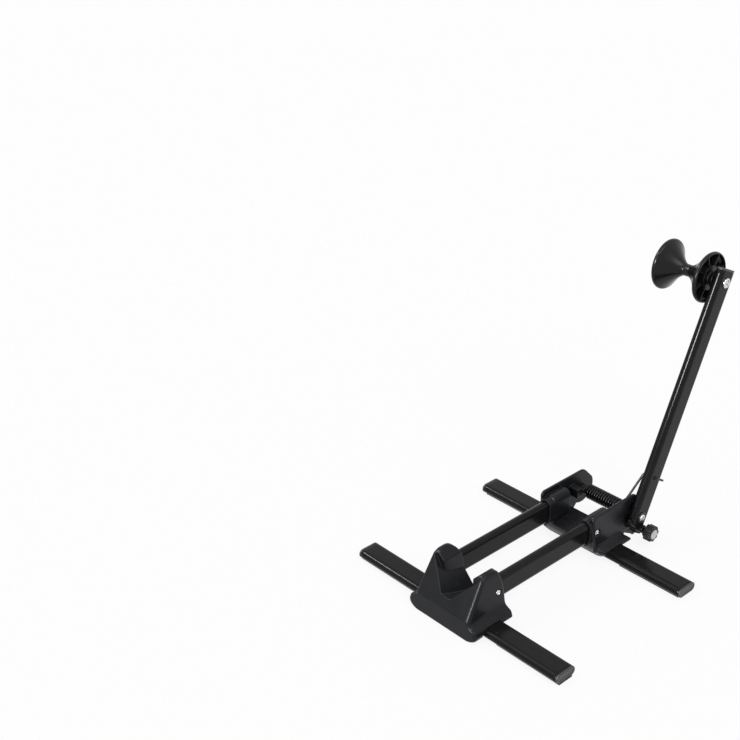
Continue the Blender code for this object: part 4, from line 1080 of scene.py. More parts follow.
@dataclass(frozen=True)
class Workshop:
    """The materials, recipes and places that every sub-assembly reads."""

    materials: dict[str, bpy.types.Material]
    scatter: Recipe
    spokes: Recipe
    wire: Recipe
    pivot: Vector
    axle: Vector
    knob: Vector

    @classmethod
    def open(cls) -> "Workshop":
        """Builds the materials and recipes and reads the joints' places.

        Returns:
            The workshop.
        """
        effects = Effects.build()
        places = {joint["name"]: Vector(joint["pos_m"]) for joint in frame["joints"]}
        return cls(
            materials={finish.slot: finish.build(effects) for finish in FINISHES},
            scatter=scatter_recipe(),
            spokes=spokes_recipe(),
            wire=wire_recipe(),
            pivot=places["arm_pivot"],
            axle=places["roller_spin"],
            knob=places["knob_turn"],
        )

    @property
    def lean(self) -> float:
        """How far the arm leans back from upright, in radians."""
        return atan2(self.axle.y - self.pivot.y, self.axle.z - self.pivot.z)

    @property
    def reach(self) -> float:
        """Distance from the pivot to the roller's axle."""
        return hypot(self.axle.y - self.pivot.y, self.axle.z - self.pivot.z)

    @property
    def on_pivot(self) -> Matrix:
        """Places a shape that is drawn round the pivot's axis."""
        return Matrix.Translation((0, self.pivot.y, self.pivot.z))

    @property
    def on_arm(self) -> Matrix:
        """Places a shape that is drawn in the arm's own axes, with Z from the pivot to the roller."""
        return self.on_pivot @ Matrix.Rotation(-self.lean, 4, "X")

    @property
    def on_axle(self) -> Matrix:
        """Places a shape that is drawn round the roller's axle."""
        return self.on_arm @ Matrix.Translation((0, 0, self.reach))

    @property
    def on_knob(self) -> Matrix:
        """Places a shape that is drawn round the knob's axis."""
        return Matrix.Translation((0, self.knob.y, self.knob.z))

    def dress(
        self, name: str, mesh: bpy.types.Mesh, finish: Finish, *nodes: str, sharp: float = 40.0
    ) -> bpy.types.Object:
        """Turns a finished mesh into a piece of the stand that doesn't follow a body yet.

        Args:
            name: The piece's name.
            mesh: Its mesh, in the frame's axes.
            finish: Its finish.
            *nodes: The CAD nodes that it stands for.
            sharp: Edges that turn by more than this many degrees stay sharp.

        Returns:
            The piece.
        """
        mesh.materials.clear()
        mesh.materials.append(self.materials[finish.slot])
        mesh.shade_smooth()
        mesh.set_sharp_from_angle(angle=radians(sharp))
        piece = as_object(mesh, name)
        mesh.name = name
        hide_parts(*nodes)
        return piece

    def deliver(
        self, name: str, mesh: bpy.types.Mesh, finish: Finish, body: Body, *nodes: str, sharp: float = 40.0
    ) -> None:
        """Dresses a finished mesh and makes it ride on one body.

        Args:
            name: The piece's name.
            mesh: Its mesh, in the frame's axes.
            finish: Its finish.
            body: The body that it rides on.
            *nodes: The CAD nodes that it stands for.
            sharp: Edges that turn by more than this many degrees stay sharp.
        """
        piece = self.dress(name, mesh, finish, *nodes, sharp=sharp)
        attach(piece, body.value)
        log.info("%s: %d faces, rides on %s", name, len(piece.data.polygons), body.value)

    def lay_washer(
        self,
        node: str,
        name: str,
        finish: Finish,
        body: Body,
        place: Matrix,
        bore: float,
        outer: float | None = None,
    ) -> None:
        """Builds a flat washer as thick as its node.

        Args:
            node: The node that it stands for.
            name: The piece's name.
            finish: Its finish.
            body: The body that it rides on.
            place: Places a shape that is drawn round the washer's axis.
            bore: Diameter of its hole.
            outer: Its outer diameter, or None where it is as wide as its node.
        """
        low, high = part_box(node)
        shape = washer(outer or high.y - low.y, bore, high.x - low.x)
        mesh = to_mesh(shape, "washer", place @ Matrix.Translation((low.x, 0, 0)))
        self.deliver(name, mesh, finish, body, node)

    def turn_nut(self, node: str, across_flats: float, body: Body, place: Matrix, bore: float) -> None:
        """Builds a lock nut as thick as its node, with its collar towards -X.

        Args:
            node: The node that it stands for.
            across_flats: Its width over the flats.
            body: The body that it rides on.
            place: Places a shape that is drawn round the nut's axis.
            bore: Diameter of its hole.
        """
        low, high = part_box(node)
        shape = lock_nut(across_flats, high.x - low.x, bore)
        flipped = place @ Matrix.Translation((high.x, 0, 0)) @ Matrix.Rotation(pi, 4, "Z")
        self.deliver(f"{node}_zinc", to_mesh(shape, "nut", flipped), STEEL, body, node, sharp=35)


@dataclass
class OvalTube:
    """Flat-oval steel tube with a wall and softly broken ends."""

    thickness: float = 14.2 * MM
    width: float = 36.0 * MM
    wall: float = 1.4 * MM
    end_edge: float = 0.35 * MM

    def shape(self, start: float, end: float) -> bmesh.types.BMesh:
        """Draws the tube along Z, with its width along Y and its thickness along X.

        Args:
            start: Height of the lower end.
            end: Height of the upper end.

        Returns:
            A new bmesh.
        """
        edge = self.end_edge
        spare = 6 * MM
        stations = [
            (start + edge * 0.3, 2 * self.wall),
            (start, 2 * self.wall - edge),
            (start, 2 * edge),
            (start + edge * 0.3, edge * 0.6),
            (start + edge, 0.0),
            (start + spare, 0.0),
            (end - spare, 0.0),
            (end - edge, 0.0),
            (end - edge * 0.3, edge * 0.6),
            (end, 2 * edge),
            (end, 2 * self.wall - edge),
            (end - edge * 0.3, 2 * self.wall),
        ]
        rings = []
        for z, less in stations:
            outline = flat_oval(self.thickness - less, self.width - less)
            rings.append([(u, v, z) for u, v in outline])
        return skin(rings, ring_closed=True)


def lying(turn: str) -> Matrix:
    """Turns a shape drawn along Z so that it lies along another axis.

    Args:
        turn: "X" for a foot, whose width then lies along Y, or "Y" for a rail, whose width stands up.

    Returns:
        The matrix.
    """
    if turn == "X":
        return Matrix.Rotation(pi / 2, 4, "Y")
    return Matrix.Rotation(-pi / 2, 4, "X")


@dataclass
class Feet:
    """The two feet with their end caps and rubber pads."""

    shop: Workshop
    screw_spread: float = 44.0 * MM
    countersink: float = 8.6 * MM
    countersink_depth: float = 2.0 * MM
    clearance_hole: float = 4.6 * MM
    cap_edge: float = 1.1 * MM
    cap_face_edge: float = 1.5 * MM
    cap_face_step: float = 0.25 * MM
    plug_length: float = 13.0 * MM
    plug_taper: float = 0.5 * MM
    pad_edge: float = 0.6 * MM

    def build(self) -> None:
        """Builds and delivers every piece of both feet."""
        for foot in Foot:
            self.tube(foot)
            for side in Side:
                self.cap(foot, side)
                self.pad(foot, side)

    def tube(self, foot: Foot) -> None:
        """Builds one foot's tube with its two countersunk holes underneath.

        Args:
            foot: Which foot.
        """
        low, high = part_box(f"{foot.value}_foot")
        middle = (low + high) / 2
        tube = OvalTube(thickness=high.z - low.z, width=high.y - low.y)
        place = Matrix.Translation(middle) @ lying("X")
        mesh = to_mesh(tube.shape(low.x, high.x), "foot", place)
        holes = [self.screw_hole(side, middle, low.z) for side in Side]
        mesh = combined(mesh, holes, Cutting.CUT)
        self.shop.deliver(f"{foot.value}_foot_tube", mesh, TUBE_COAT, Body.STAND, f"{foot.value}_foot")

    def screw_hole(self, side: Side, middle: Vector, bottom: float) -> bpy.types.Mesh:
        """Draws the cutter of one screw hole.

        Args:
            side: Which side of the foot.
            middle: The foot's centre.
            bottom: Height of the foot's underside.

        Returns:
            The cutter's mesh.
        """
        sink = self.countersink / 2
        hole = self.clearance_hole / 2
        outline = [(-2 * MM, 0), (-2 * MM, sink + 1.7 * MM), (0.3 * MM, sink)]
        outline += [(0.3 * MM + self.countersink_depth, hole), (30 * MM, hole), (30 * MM, 0)]
        upright = Matrix.Rotation(-pi / 2, 4, "Y")
        place = Matrix.Translation((side.value * self.screw_spread / 2, middle.y, bottom)) @ upright
        return to_mesh(revolve(outline, 48, closed=False), "hole", place)

    def cap(self, foot: Foot, side: Side) -> None:
        """Builds one end cap: a rounded flange over the tube's end and a plug inside it.

        Args:
            foot: Which foot.
            side: Which end of it.
        """
        node = f"{foot.value}_foot_cap_{side.word}"
        low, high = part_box(node)
        tube_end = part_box(f"{foot.value}_foot")[1].x
        middle = (low + high) / 2
        seat = tube_end + FIT
        end = max(abs(low.x), abs(high.x))
        width = high.y - low.y
        thickness = high.z - low.z
        fitted = 2 * (OvalTube().wall + FIT)
        edge = self.cap_edge
        plug_end = seat - self.plug_length
        stations = [(plug_end, fitted + 2 * self.plug_taper), (plug_end + self.plug_taper, fitted)]
        stations += [(seat, fitted), (seat, 0.4 * MM), (seat + 0.2 * MM, 0.0)]
        for i in range(7):
            angle = pi / 2 * i / 6
            stations.append((end - edge + edge * sin(angle), 2 * edge * (1 - cos(angle))))
        border = 2 * (edge + self.cap_face_edge)
        stations.append((end, border))
        stations.append((end - self.cap_face_step, border + 0.6 * MM))
        rings = []
        for x, less in stations:
            outline = flat_oval(thickness - less, width - less)
            rings.append([(side.value * x, middle.y + v, middle.z + u) for u, v in outline])
        self.shop.deliver(f"{node}_moulding", to_mesh(skin(rings), "cap"), CAP, Body.STAND, node)

    def pad(self, foot: Foot, side: Side) -> None:
        """Builds one rubber pad, a strip with rounded edges.

        Args:
            foot: Which foot.
            side: Which end of it.
        """
        node = f"{foot.value}_foot_pad_{side.word}"
        low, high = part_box(node)
        edge = self.pad_edge
        corners = [
            (low.y, low.z, edge),
            (high.y, low.z, edge),
            (high.y, high.z, edge / 3),
            (low.y, high.z, edge / 3),
        ]
        section = filleted(corners, closed=True, steps=4)
        middle_y = (low.y + high.y) / 2
        middle_z = (low.z + high.z) / 2
        rings = []
        for x, shrink in ((low.x, edge), (low.x + edge, 0.0), (high.x - edge, 0.0), (high.x, edge)):
            wide = 1 - 2 * shrink / (high.y - low.y)
            tall = 1 - shrink / (high.z - low.z)
            ring = [(middle_y + (y - middle_y) * wide, middle_z + (z - middle_z) * tall) for y, z in section]
            rings.append([(x, y, z) for y, z in ring])
        self.shop.deliver(f"{node}_strip", to_mesh(skin(rings), "pad"), RUBBER, Body.STAND, node)


@dataclass
class Rails:
    """The two upright rails between the mouldings."""

    shop: Workshop

    def build(self) -> None:
        """Builds and delivers both rails."""
        for side in Side:
            node = f"rail_{side.word}"
            low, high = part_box(node)
            middle = (low + high) / 2
            tube = OvalTube(thickness=high.x - low.x, width=high.z - low.z)
            place = Matrix.Translation((middle.x, 0, middle.z)) @ lying("Y")
            mesh = to_mesh(tube.shape(low.y, high.y), node, place)
            self.shop.deliver(f"{node}_tube", mesh, TUBE_COAT, Body.STAND, node)


@dataclass
class Mouldings:
    """The front cradle and the rear housing, with the soft edges of moulded plastic."""

    shop: Workshop
    voxel: float = 0.62 * MM
    cradle_rounds: int = 10
    housing_rounds: int = 4
    most_triangles: int = 180_000

    def build(self) -> None:
        """Builds and delivers both mouldings, the cradle with the softer edges."""
        for node, rounds in (("front_cradle", self.cradle_rounds), ("rear_housing", self.housing_rounds)):
            mesh = thinned(softened_copy(node, self.voxel, rounds), self.most_triangles)
            self.shop.deliver(f"{node}_moulding", mesh, MOULDING, Body.STAND, node, sharp=180)


@dataclass
class Screws:
    """The screws through the mouldings, each kind scattered from one drawing."""

    shop: Workshop
    head: float = 8.0 * MM
    head_height: float = 2.2 * MM
    shank: float = 4.0 * MM
    rail_length: float = 12.0 * MM
    rail_recess: Point2 = (4.4 * MM, 1.0 * MM)
    foot_length: float = 22.0 * MM
    foot_head_height: float = 2.0 * MM
    foot_recess: Point3 = (4.6 * MM, 1.0 * MM, 1.6 * MM)

    def build(self) -> None:
        """Builds and delivers the rail screws and the foot screws."""
        rail_nodes = [f"{place}_rail_screw_{side.word}" for place in ("cradle", "housing") for side in Side]
        screw = pan_head(self.head, self.head_height, self.shank, self.rail_length, *self.rail_recess)
        self.scatter("rail_screws", screw, rail_nodes, self.rail_seat)
        foot_nodes = [f"{foot.value}_foot_screw_{side.word}" for foot in Foot for side in Side]
        self.scatter("foot_screws", self.countersunk(), foot_nodes, self.foot_seat)

    def scatter(
        self,
        name: str,
        screw: bpy.types.Mesh,
        nodes: Sequence[str],
        seat: Callable[[str], tuple[Vector, Point3]],
    ) -> None:
        """Repeats one screw at each node's place.

        Args:
            name: The piece's name.
            screw: The drawing of one screw.
            nodes: The nodes that the screws stand for.
            seat: Gives a node's place and turn.
        """
        pattern = as_object(screw, name + "_pattern")
        points = bpy.data.meshes.new(name + "_points")
        seats = [seat(node) for node in nodes]
        points.from_pydata([tuple(place) for place, _ in seats], [], [])
        turns = points.attributes.new("turn", "FLOAT_VECTOR", "POINT")
        for item, (_, turn) in zip(turns.data, seats):
            item.vector = turn
        mesh = self.shop.scatter.cook(points, Piece=pattern, Finish=self.shop.materials[STEEL.slot])
        bpy.data.objects.remove(pattern, do_unlink=True)
        self.shop.deliver(name, mesh, STEEL, Body.STAND, *nodes, sharp=35)

    def rail_seat(self, node: str) -> tuple[Vector, Point3]:
        """Place and turn of a rail screw, whose head looks outwards.

        The recess turns with the place, so that the screws don't all stand alike.

        Args:
            node: The screw's node.

        Returns:
            The seat of its head, and its turn.
        """
        low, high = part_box(node)
        middle = (low + high) / 2
        outer = max(abs(low.x), abs(high.x)) - self.head_height
        sign = 1 if middle.x > 0 else -1
        slant = 0.5 + middle.y * 7
        return Vector((sign * outer, middle.y, middle.z)), (slant, 0, 0 if sign > 0 else pi)

    def foot_seat(self, node: str) -> tuple[Vector, Point3]:
        """Place and turn of a foot screw, whose head looks down.

        The recess turns with the place here too.

        Args:
            node: The screw's node.

        Returns:
            The middle of its head's face, and its turn.
        """
        low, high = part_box(node)
        middle = (low + high) / 2
        slant = 0.3 + middle.x * 9
        return Vector((middle.x, middle.y, low.z)), (slant, pi / 2, 0)

    def countersunk(self) -> bpy.types.Mesh:
        """Draws a countersunk screw along X, with its head's face at 0 and looking along +X.

        Returns:
            The screw's mesh.
        """
        corners = [
            (-self.foot_length, 0, 0),
            (-self.foot_length + 1.5 * MM, self.shank / 2 - 0.2 * MM, 0),
            (-self.foot_length + 2 * MM, self.shank / 2, 0),
            (-self.foot_head_height, self.shank / 2, 0.3 * MM),
            (-0.15 * MM, self.head / 2, 0.1 * MM),
            (0, self.head / 2 - 0.15 * MM, 0.1 * MM),
            (0, 0, 0),
        ]
        body = to_mesh(revolve(filleted(corners, closed=False), 64, closed=False), "screw")
        return combined(body, [cross_recess(*self.foot_recess, top=0.0)], Cutting.CUT)


@dataclass
class Arm:
    """The leaning arm with the plugs in its two ends, drawn in its own axes."""

    shop: Workshop
    top_flange: float = 3.0 * MM
    beyond_axle: float = 19.4 * MM
    bush_hole: float = 14.6 * MM
    axle_hole: float = 10.6 * MM
    leg_hole: float = 6.0 * MM
    plug_length: float = 8.0 * MM
    plug_edge: float = 1.2 * MM

    def build(self) -> None:
        """Builds and delivers the tube and both plugs."""
        low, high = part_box("arm_tube")
        self.plane = (low.x + high.x) / 2
        self.tube = OvalTube(thickness=high.x - low.x)
        self.arm_tube()
        self.top_plug()
        self.end_plug()

    def across(self, diameter: float, y: float, z: float) -> bpy.types.Mesh:
        """Draws a round cutter through both walls of the arm.

        Args:
            diameter: The hole's diameter.
            y: Its place across the arm.
            z: Its place along the arm.

        Returns:
            The cutter's mesh.
        """
        reach = self.tube.thickness
        outline = [(-reach, 0), (-reach, diameter / 2), (reach, diameter / 2), (reach, 0)]
        shape = revolve(outline, 48, closed=False)
        return to_mesh(shape, "hole", Matrix.Translation((self.plane, y, z)))

    def end_round(self, radius: float) -> bpy.types.Mesh:
        """Draws the cutter that rounds the arm's lower end about the pivot.

        Args:
            radius: Radius of the round.

        Returns:
            The cutter's mesh.
        """
        wide = self.tube.width
        reach = self.tube.thickness
        shoulder = 0.4 * MM
        outline = [(-wide, shoulder), (-radius - 0.6 * MM, shoulder)]
        outline += [(radius * cos(a), radius * sin(a)) for a in (pi + pi * i / 48 for i in range(49))]
        outline += [(radius + 0.6 * MM, shoulder), (wide, shoulder), (wide, -wide), (-wide, -wide)]
        rings = [[(x, y, z) for y, z in outline] for x in (self.plane - reach, self.plane + reach)]
        return to_mesh(skin(rings), "end_round")

    def arm_tube(self) -> None:
        """Builds the tube with its rounded end and its three holes."""
        end = self.shop.reach + self.beyond_axle - self.top_flange - FIT
        shape = self.tube.shape(-self.tube.width / 2 - 1 * MM, end)
        mesh = to_mesh(shape, "arm", Matrix.Translation((self.plane, 0, 0)))
        cutters = [
            self.end_round(self.tube.width / 2 - 0.1 * MM),
            self.across(self.bush_hole, 0, 0),
            self.across(self.axle_hole, 0, self.shop.reach),
            self.across(self.leg_hole, *LEG_HOLE_AT),
        ]
        mesh = combined(mesh, cutters, Cutting.CUT)
        mesh.transform(self.shop.on_arm)
        self.shop.deliver("arm_oval_tube", mesh, TUBE_COAT, Body.ARM, "arm_tube")

    def section(self, less: float, z: float) -> list[Point3]:
        """One ring of a plug.

        Args:
            less: How much narrower the ring is than the tube.
            z: Its place along the arm.

        Returns:
            The ring's points.
        """
        outline = flat_oval(self.tube.thickness - less, self.tube.width - less)
        return [(self.plane + u, v, z) for u, v in outline]

    def top_plug(self) -> None:
        """Builds the plug in the arm's upper end."""
        end = self.shop.reach + self.beyond_axle
        seat = end - self.top_flange
        fitted = 2 * (self.tube.wall + FIT)
        edge = self.plug_edge
        rings = [self.section(fitted, seat - self.plug_length), self.section(fitted, seat)]
        rings += [self.section(0.4 * MM, seat), self.section(0.0, seat + 0.2 * MM)]
        for i in range(7):
            angle = pi / 2 * i / 6
            rings.append(self.section(2 * edge * (1 - cos(angle)), end - edge + edge * sin(angle)))
        rings.append(self.section(2 * edge + 3 * MM, end))
        mesh = to_mesh(skin(rings), "plug", self.shop.on_arm)
        self.shop.deliver("arm_top_plug_moulding", mesh, CAP, Body.ARM, "arm_top_plug")

    def end_plug(self) -> None:
        """Builds the plug that closes the arm's rounded lower end."""
        fitted = 2 * (self.tube.wall + FIT)
        low = -self.tube.width
        high = self.tube.width / 2 - 4 * MM
        mesh = to_mesh(skin([self.section(fitted, low), self.section(fitted, high)]), "plug")
        cutters = [self.end_round(self.tube.width / 2 - 0.5 * MM), self.across(self.bush_hole, 0, 0)]
        mesh = combined(mesh, cutters, Cutting.CUT)
        mesh.transform(self.shop.on_arm)
        self.shop.deliver("arm_end_plug_moulding", mesh, CAP, Body.ARM, "arm_end_plug")


@dataclass
class Pivot:
    """Bolt, bush, washers, nut, sleeve and torsion spring at the arm's lower end."""

    shop: Workshop
    bolt: float = 8.0 * MM
    head: float = 10.6 * MM
    head_height: float = 3.2 * MM
    head_recess: Point2 = (7.4 * MM, 2.2 * MM)
    head_turn: float = 0.5
    bush_barrel: float = 14.0 * MM
    bush_flange: float = 17.0 * MM
    flange_thickness: float = 1.2 * MM
    sleeve: float = 14.0 * MM
    across_flats: float = 13.0 * MM
    wire: float = 3.5 * MM
    coil_radius: float = 9.75 * MM
    coil_pitch: float = 4.3 * MM
    coil_turns: int = 15
    points_per_turn: int = 44
    anchor_ahead: float = 22.0 * MM
    anchor_depth: float = 9.0 * MM
    leg_bend: float = 4.0 * MM
    leg_tail: float = 22.0 * MM

    def build(self) -> None:
        """Builds every piece on the pivot, and delivers all but the spring, which is only dressed."""
        self.bore = self.bolt + 2 * FIT
        self.pivot_bolt()
        self.arm_bush()
        self.washers_and_nut()
        self.spring_sleeve()
        self.torsion_spring()

    def pivot_bolt(self) -> None:
        """Builds the bolt with its cross-recessed head."""
        low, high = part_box("pivot_bolt")
        seat = high.x - self.head_height
        screw = pan_head(self.head, self.head_height, self.bolt, seat - low.x, *self.head_recess)
        turned = Matrix.Rotation(self.head_turn, 4, "X")
        screw.transform(self.shop.on_arm @ Matrix.Translation((seat, 0, 0)) @ turned)
        self.shop.deliver("pivot_bolt_zinc", screw, STEEL, Body.STAND, "pivot_bolt", sharp=35)

    def arm_bush(self) -> None:
        """Builds the flanged bush that the arm turns on."""
        low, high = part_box("arm_pivot_bush")
        seat = high.x - self.flange_thickness
        sunk = seat - 0.6 * MM
        fit = self.head / 2 + 0.5 * MM
        corners = [
            (low.x, self.bush_barrel / 2, 0.4 * MM),
            (seat, self.bush_barrel / 2, 0),
            (seat, self.bush_flange / 2, 0.2 * MM),
            (high.x, self.bush_flange / 2, 0.7 * MM),
            (high.x, fit, 0.25 * MM),
            (sunk, fit, 0),
            (sunk, self.bore / 2, 0),
            (low.x, self.bore / 2, 0),
        ]
        mesh = to_mesh(revolve(filleted(corners, closed=True), 96), "bush", self.shop.on_arm)
        self.shop.deliver("arm_bush_nylon", mesh, NYLON, Body.ARM, "arm_pivot_bush")

    def washers_and_nut(self) -> None:
        """Builds the thin washer beside the arm, and the washer and nut at the bolt's far end."""
        stand = Body.STAND
        around = self.shop.on_pivot
        self.shop.lay_washer("pivot_washer", "pivot_washer_nylon", NYLON, stand, around, self.bore)
        self.shop.lay_washer("pivot_nut_washer", "pivot_nut_washer_zinc", STEEL, stand, around, self.bore)
        self.shop.turn_nut("pivot_nut", self.across_flats, stand, around, self.bore)

    def spring_sleeve(self) -> None:
        """Builds the sleeve inside the coil."""
        low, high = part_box("spring_sleeve")
        corners = [
            (low.x, self.sleeve / 2, 0.3 * MM),
            (high.x, self.sleeve / 2, 0.3 * MM),
            (high.x, self.bore / 2, 0),
            (low.x, self.bore / 2, 0),
        ]
        mesh = to_mesh(revolve(filleted(corners, closed=True), 96), "sleeve", self.shop.on_pivot)
        self.shop.deliver("spring_sleeve_nylon", mesh, NYLON, Body.STAND, "spring_sleeve")

    def in_arm(self, y: float, z: float) -> Point2:
        """Turns an offset from the pivot in the frame's axes into the arm's own Y and Z."""
        lean = self.shop.lean
        return (y * cos(lean) - z * sin(lean), y * sin(lean) + z * cos(lean))

    def spring_line(self) -> list[Vector]:
        """Points of the spring in the arm's own axes: anchor tail, coil, leg and hook.

        Returns:
            The points, from the anchor in the housing to the hook's tip.
        """
        half = self.coil_turns * self.coil_pitch / 2
        radius = self.coil_radius
        top = self.in_arm(0.0, radius)
        tail = self.in_arm(-self.anchor_ahead - self.anchor_depth, radius)
        points = [Vector((-half, *tail))]
        hole_y, hole_z = LEG_HOLE_AT
        first = atan2(top[1], top[0])
        last = atan2(hole_z, hole_y) + acos(radius / hypot(hole_y, hole_z)) - 2 * pi * self.coil_turns
        count = round((first - last) / (2 * pi) * self.points_per_turn)
        for i in range(count + 1):
            share = i / count
            angle = first + (last - first) * share
            points.append(Vector((-half + 2 * half * share, radius * cos(angle), radius * sin(angle))))
        low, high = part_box("arm_tube")
        hook_x = high.x + FIT + self.wire / 2
        corners = [
            points[-1],
            Vector((low.x - self.leg_bend, hole_y, hole_z)),
            Vector((hook_x, hole_y, hole_z)),
            Vector((hook_x, hole_y + self.leg_tail, hole_z - 3 * MM)),
        ]
        return points + bent_line(corners, self.leg_bend)[1:]

    def torsion_spring(self) -> None:
        """Builds the spring by drawing a wire along its line.

        It is one fixed mesh at the rest pose and rides on no body.
        """
        points = self.spring_line()
        line = bpy.data.meshes.new("spring_line")
        line.from_pydata([tuple(p) for p in points], [(i, i + 1) for i in range(len(points) - 1)], [])
        mesh = self.shop.wire.cook(
            line, Wire_Radius=self.wire / 2, Sides=18, Finish=self.shop.materials[WIRE_COAT.slot]
        )
        mesh.transform(self.shop.on_arm)
        spring = self.shop.dress("torsion_spring_wire", mesh, WIRE_COAT, "torsion_spring", sharp=50)
        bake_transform(spring)
        log.info("torsion_spring_wire: %d faces, winds up between stand and arm", len(spring.data.polygons))


def bent_line(corners: Sequence[Vector], radius: float, steps: int = 14) -> list[Vector]:
    """Joins straight runs with round bends.

    Args:
        corners: The line's corners.
        radius: Radius of every bend.
        steps: Segments in a bend.

    Returns:
        The line's points.
    """
    path = [corners[0]]
    for before, corner, after in zip(corners, corners[1:], corners[2:]):
        back = (before - corner).normalized()
        ahead = (after - corner).normalized()
        half = back.angle(ahead) / 2
        centre = corner + (back + ahead).normalized() * (radius / sin(half))
        spoke = corner + back * (radius * cos(half) / sin(half)) - centre
        turn_axis = back.cross(ahead).normalized()
        for i in range(steps + 1):
            path.append(centre + Quaternion(turn_axis, -(pi - 2 * half) * i / steps) @ spoke)
    path.append(corners[-1])
    return path


@dataclass
class Roller:
    """The hourglass roller with its bushes, and the axle that carries it."""

    shop: Workshop
    radius: float = 38.4 * MM
    neck: float = 9.0 * MM
    neck_length: float = 8.0 * MM
    rim: float = 6.4 * MM
    rim_ring: float = 3.2 * MM
    flare_power: float = 1.45
    wall: float = 3.2 * MM
    core: float = 11.6 * MM
    hub: float = 18.5 * MM
    recess: float = 1.6 * MM
    ribs: int = 8
    first_rib: float = -7.5
    rib_thickness: float = 2.4 * MM
    bush: float = 16.0 * MM
    bush_length: float = 14.0 * MM
    bush_flange: float = 1.5 * MM
    axle: float = 10.0 * MM
    axle_head: float = 15.0 * MM
    axle_head_height: float = 3.4 * MM
    axle_recess: Point2 = (10.4 * MM, 3.0 * MM)
    axle_head_turn: float = 0.25
    axle_washer: float = 21.0 * MM
    spacer: float = 30.0 * MM
    across_flats: float = 15.0 * MM

    def build(self) -> None:
        """Builds and delivers every piece of the roller and its axle."""
        low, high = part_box("roller")
        self.half = (high.x - low.x) / 2
        self.place = self.shop.on_axle @ Matrix.Translation(((low.x + high.x) / 2, 0, 0))
        self.bore = self.axle + 2 * FIT
        self.roller_body()
        for side in Side:
            self.roller_bush(side)
        self.roller_spacer()
        self.axle_bolt()
        self.axle_nut()

    def flare(self, steps: int = 28) -> list[Point2]:
        """Outer curve of one flare, from the rim down to the neck.

        Args:
            steps: Segments in the curve.

        Returns:
            Its (x, radius) points.
        """
        start = self.half - self.rim
        neck_end = self.neck_length / 2
        top = self.radius - 1.6 * MM
        points = []
        for i in range(steps + 1):
            x = start - 0.6 * MM - (start - 0.6 * MM - neck_end) * i / steps
            rise = (x - neck_end) / (start - neck_end)
            points.append((x, self.neck + (top - self.neck) * rise**self.flare_power))
        return points

    def rim_bead(self, steps: int = 16) -> list[Point2]:
        """Rounded outer edge of the rim, from the face to the start of the flare.

        Args:
            steps: Segments in the edge.

        Returns:
            Its (x, radius) points.
        """
        crown = 3.2 * MM
        points = []
        for i in range(1, steps + 1):
            behind = self.rim * i / steps
            slope = (behind - crown) / crown
            points.append((self.half - behind, self.radius - 1.3 * MM * abs(slope) ** 2.2))
        return points

    def dish(self) -> list[Point2]:
        """Floor of the dished face, from the rim inwards.

        Returns:
            Its (x, radius) points.
        """
        outer = self.radius - self.rim_ring
        low = self.hub + 1.5 * MM
        return [(x, r - self.wall) for x, r in self.flare() if low < r - self.wall < outer - 1 * MM]

    def side_outline(self) -> list[Point2]:
        """Half of the roller's section, from its bore to the middle of the neck.

        Returns:
            Its (x, radius) points.
        """
        outer = self.radius - self.rim_ring
        floor = self.dish()
        seat_end = self.half - self.bush_length
        corners = [
            (seat_end, self.core / 2, 0),
            (seat_end, self.bush / 2 + FIT, 0),
            (self.half, self.bush / 2 + FIT, 0.3 * MM),
            (self.half, self.hub, 0.8 * MM),
            (floor[-1][0] - 1 * MM, self.hub, 1.2 * MM),
        ]
        corners += [(x, r, 0) for x, r in reversed(floor)]
        corners += [
            (floor[0][0] + 1.5 * MM, outer, 1.0 * MM),
            (self.half, outer + 0.4 * MM, 0.5 * MM),
            (self.half, self.radius - 1.5 * MM, 0.4 * MM),
        ]
        corners += [(x, r, 0) for x, r in self.rim_bead()]
        corners += [(x, r, 0) for x, r in self.flare()]
        return filleted([(0, self.core / 2, 0)] + corners + [(0, self.neck, 0)], closed=False, steps=6)[1:-1]

    def roller_body(self) -> None:
        """Builds the roller with eight ribs in each dished face."""
        side = self.side_outline()
        outline = side + [(-x, radius) for x, radius in reversed(side)]
        body = to_mesh(revolve(outline, 160), "roller")
        rib = as_object(self.rib(), "rib_pattern")
        finish = self.shop.materials[ROLLER_SKIN.slot]
        starter = bpy.data.meshes.new("starter")
        ribs = self.shop.spokes.cook(starter, Rib=rib, Count=self.ribs, Finish=finish)
        bpy.data.objects.remove(rib, do_unlink=True)
        far_ribs = ribs.copy()
        far_ribs.transform(Matrix.Rotation(pi, 4, "Z"))
        body = combined(body, [ribs, far_ribs], Cutting.ADD)
        body.transform(self.place @ Matrix.Rotation(radians(self.first_rib), 4, "X"))
        self.shop.deliver("roller_body", body, ROLLER_SKIN, Body.ROLLER, "roller", sharp=38)

    def rib(self) -> bpy.types.Mesh:
        """Draws one rib with a rounded top edge, rooted in the hub, the dish and the rim.

        Returns:
            The rib's mesh.
        """
        top = self.half - self.recess
        sunk = 1.5 * MM
        floor = self.dish()
        inner = self.hub - sunk
        outer = self.radius - self.rim_ring + sunk
        lower = [(floor[0][0] + 0.5 * MM, outer)] + [(x, r + sunk) for x, r in floor]
        lower.append((floor[-1][0] - 2.5 * MM, inner))
        half = self.rib_thickness / 2
        edge = 0.7 * MM
        rings = []
        for offset, drop in (
            (-half - 0.25 * MM, None),
            (-half, edge),
            (-half + 0.3 * edge, 0.3 * edge),
            (-half + edge, 0.0),
            (half - edge, 0.0),
            (half - 0.3 * edge, 0.3 * edge),
            (half, edge),
            (half + 0.25 * MM, None),
        ):
            crest = top - (4.0 * MM if drop is None else drop)
            ring = [(crest, offset, inner), (crest, offset, outer)]
            ring += [(min(x, crest - 0.5 * MM), offset, r) for x, r in lower]
            rings.append(ring)
        return to_mesh(skin(rings), "rib")

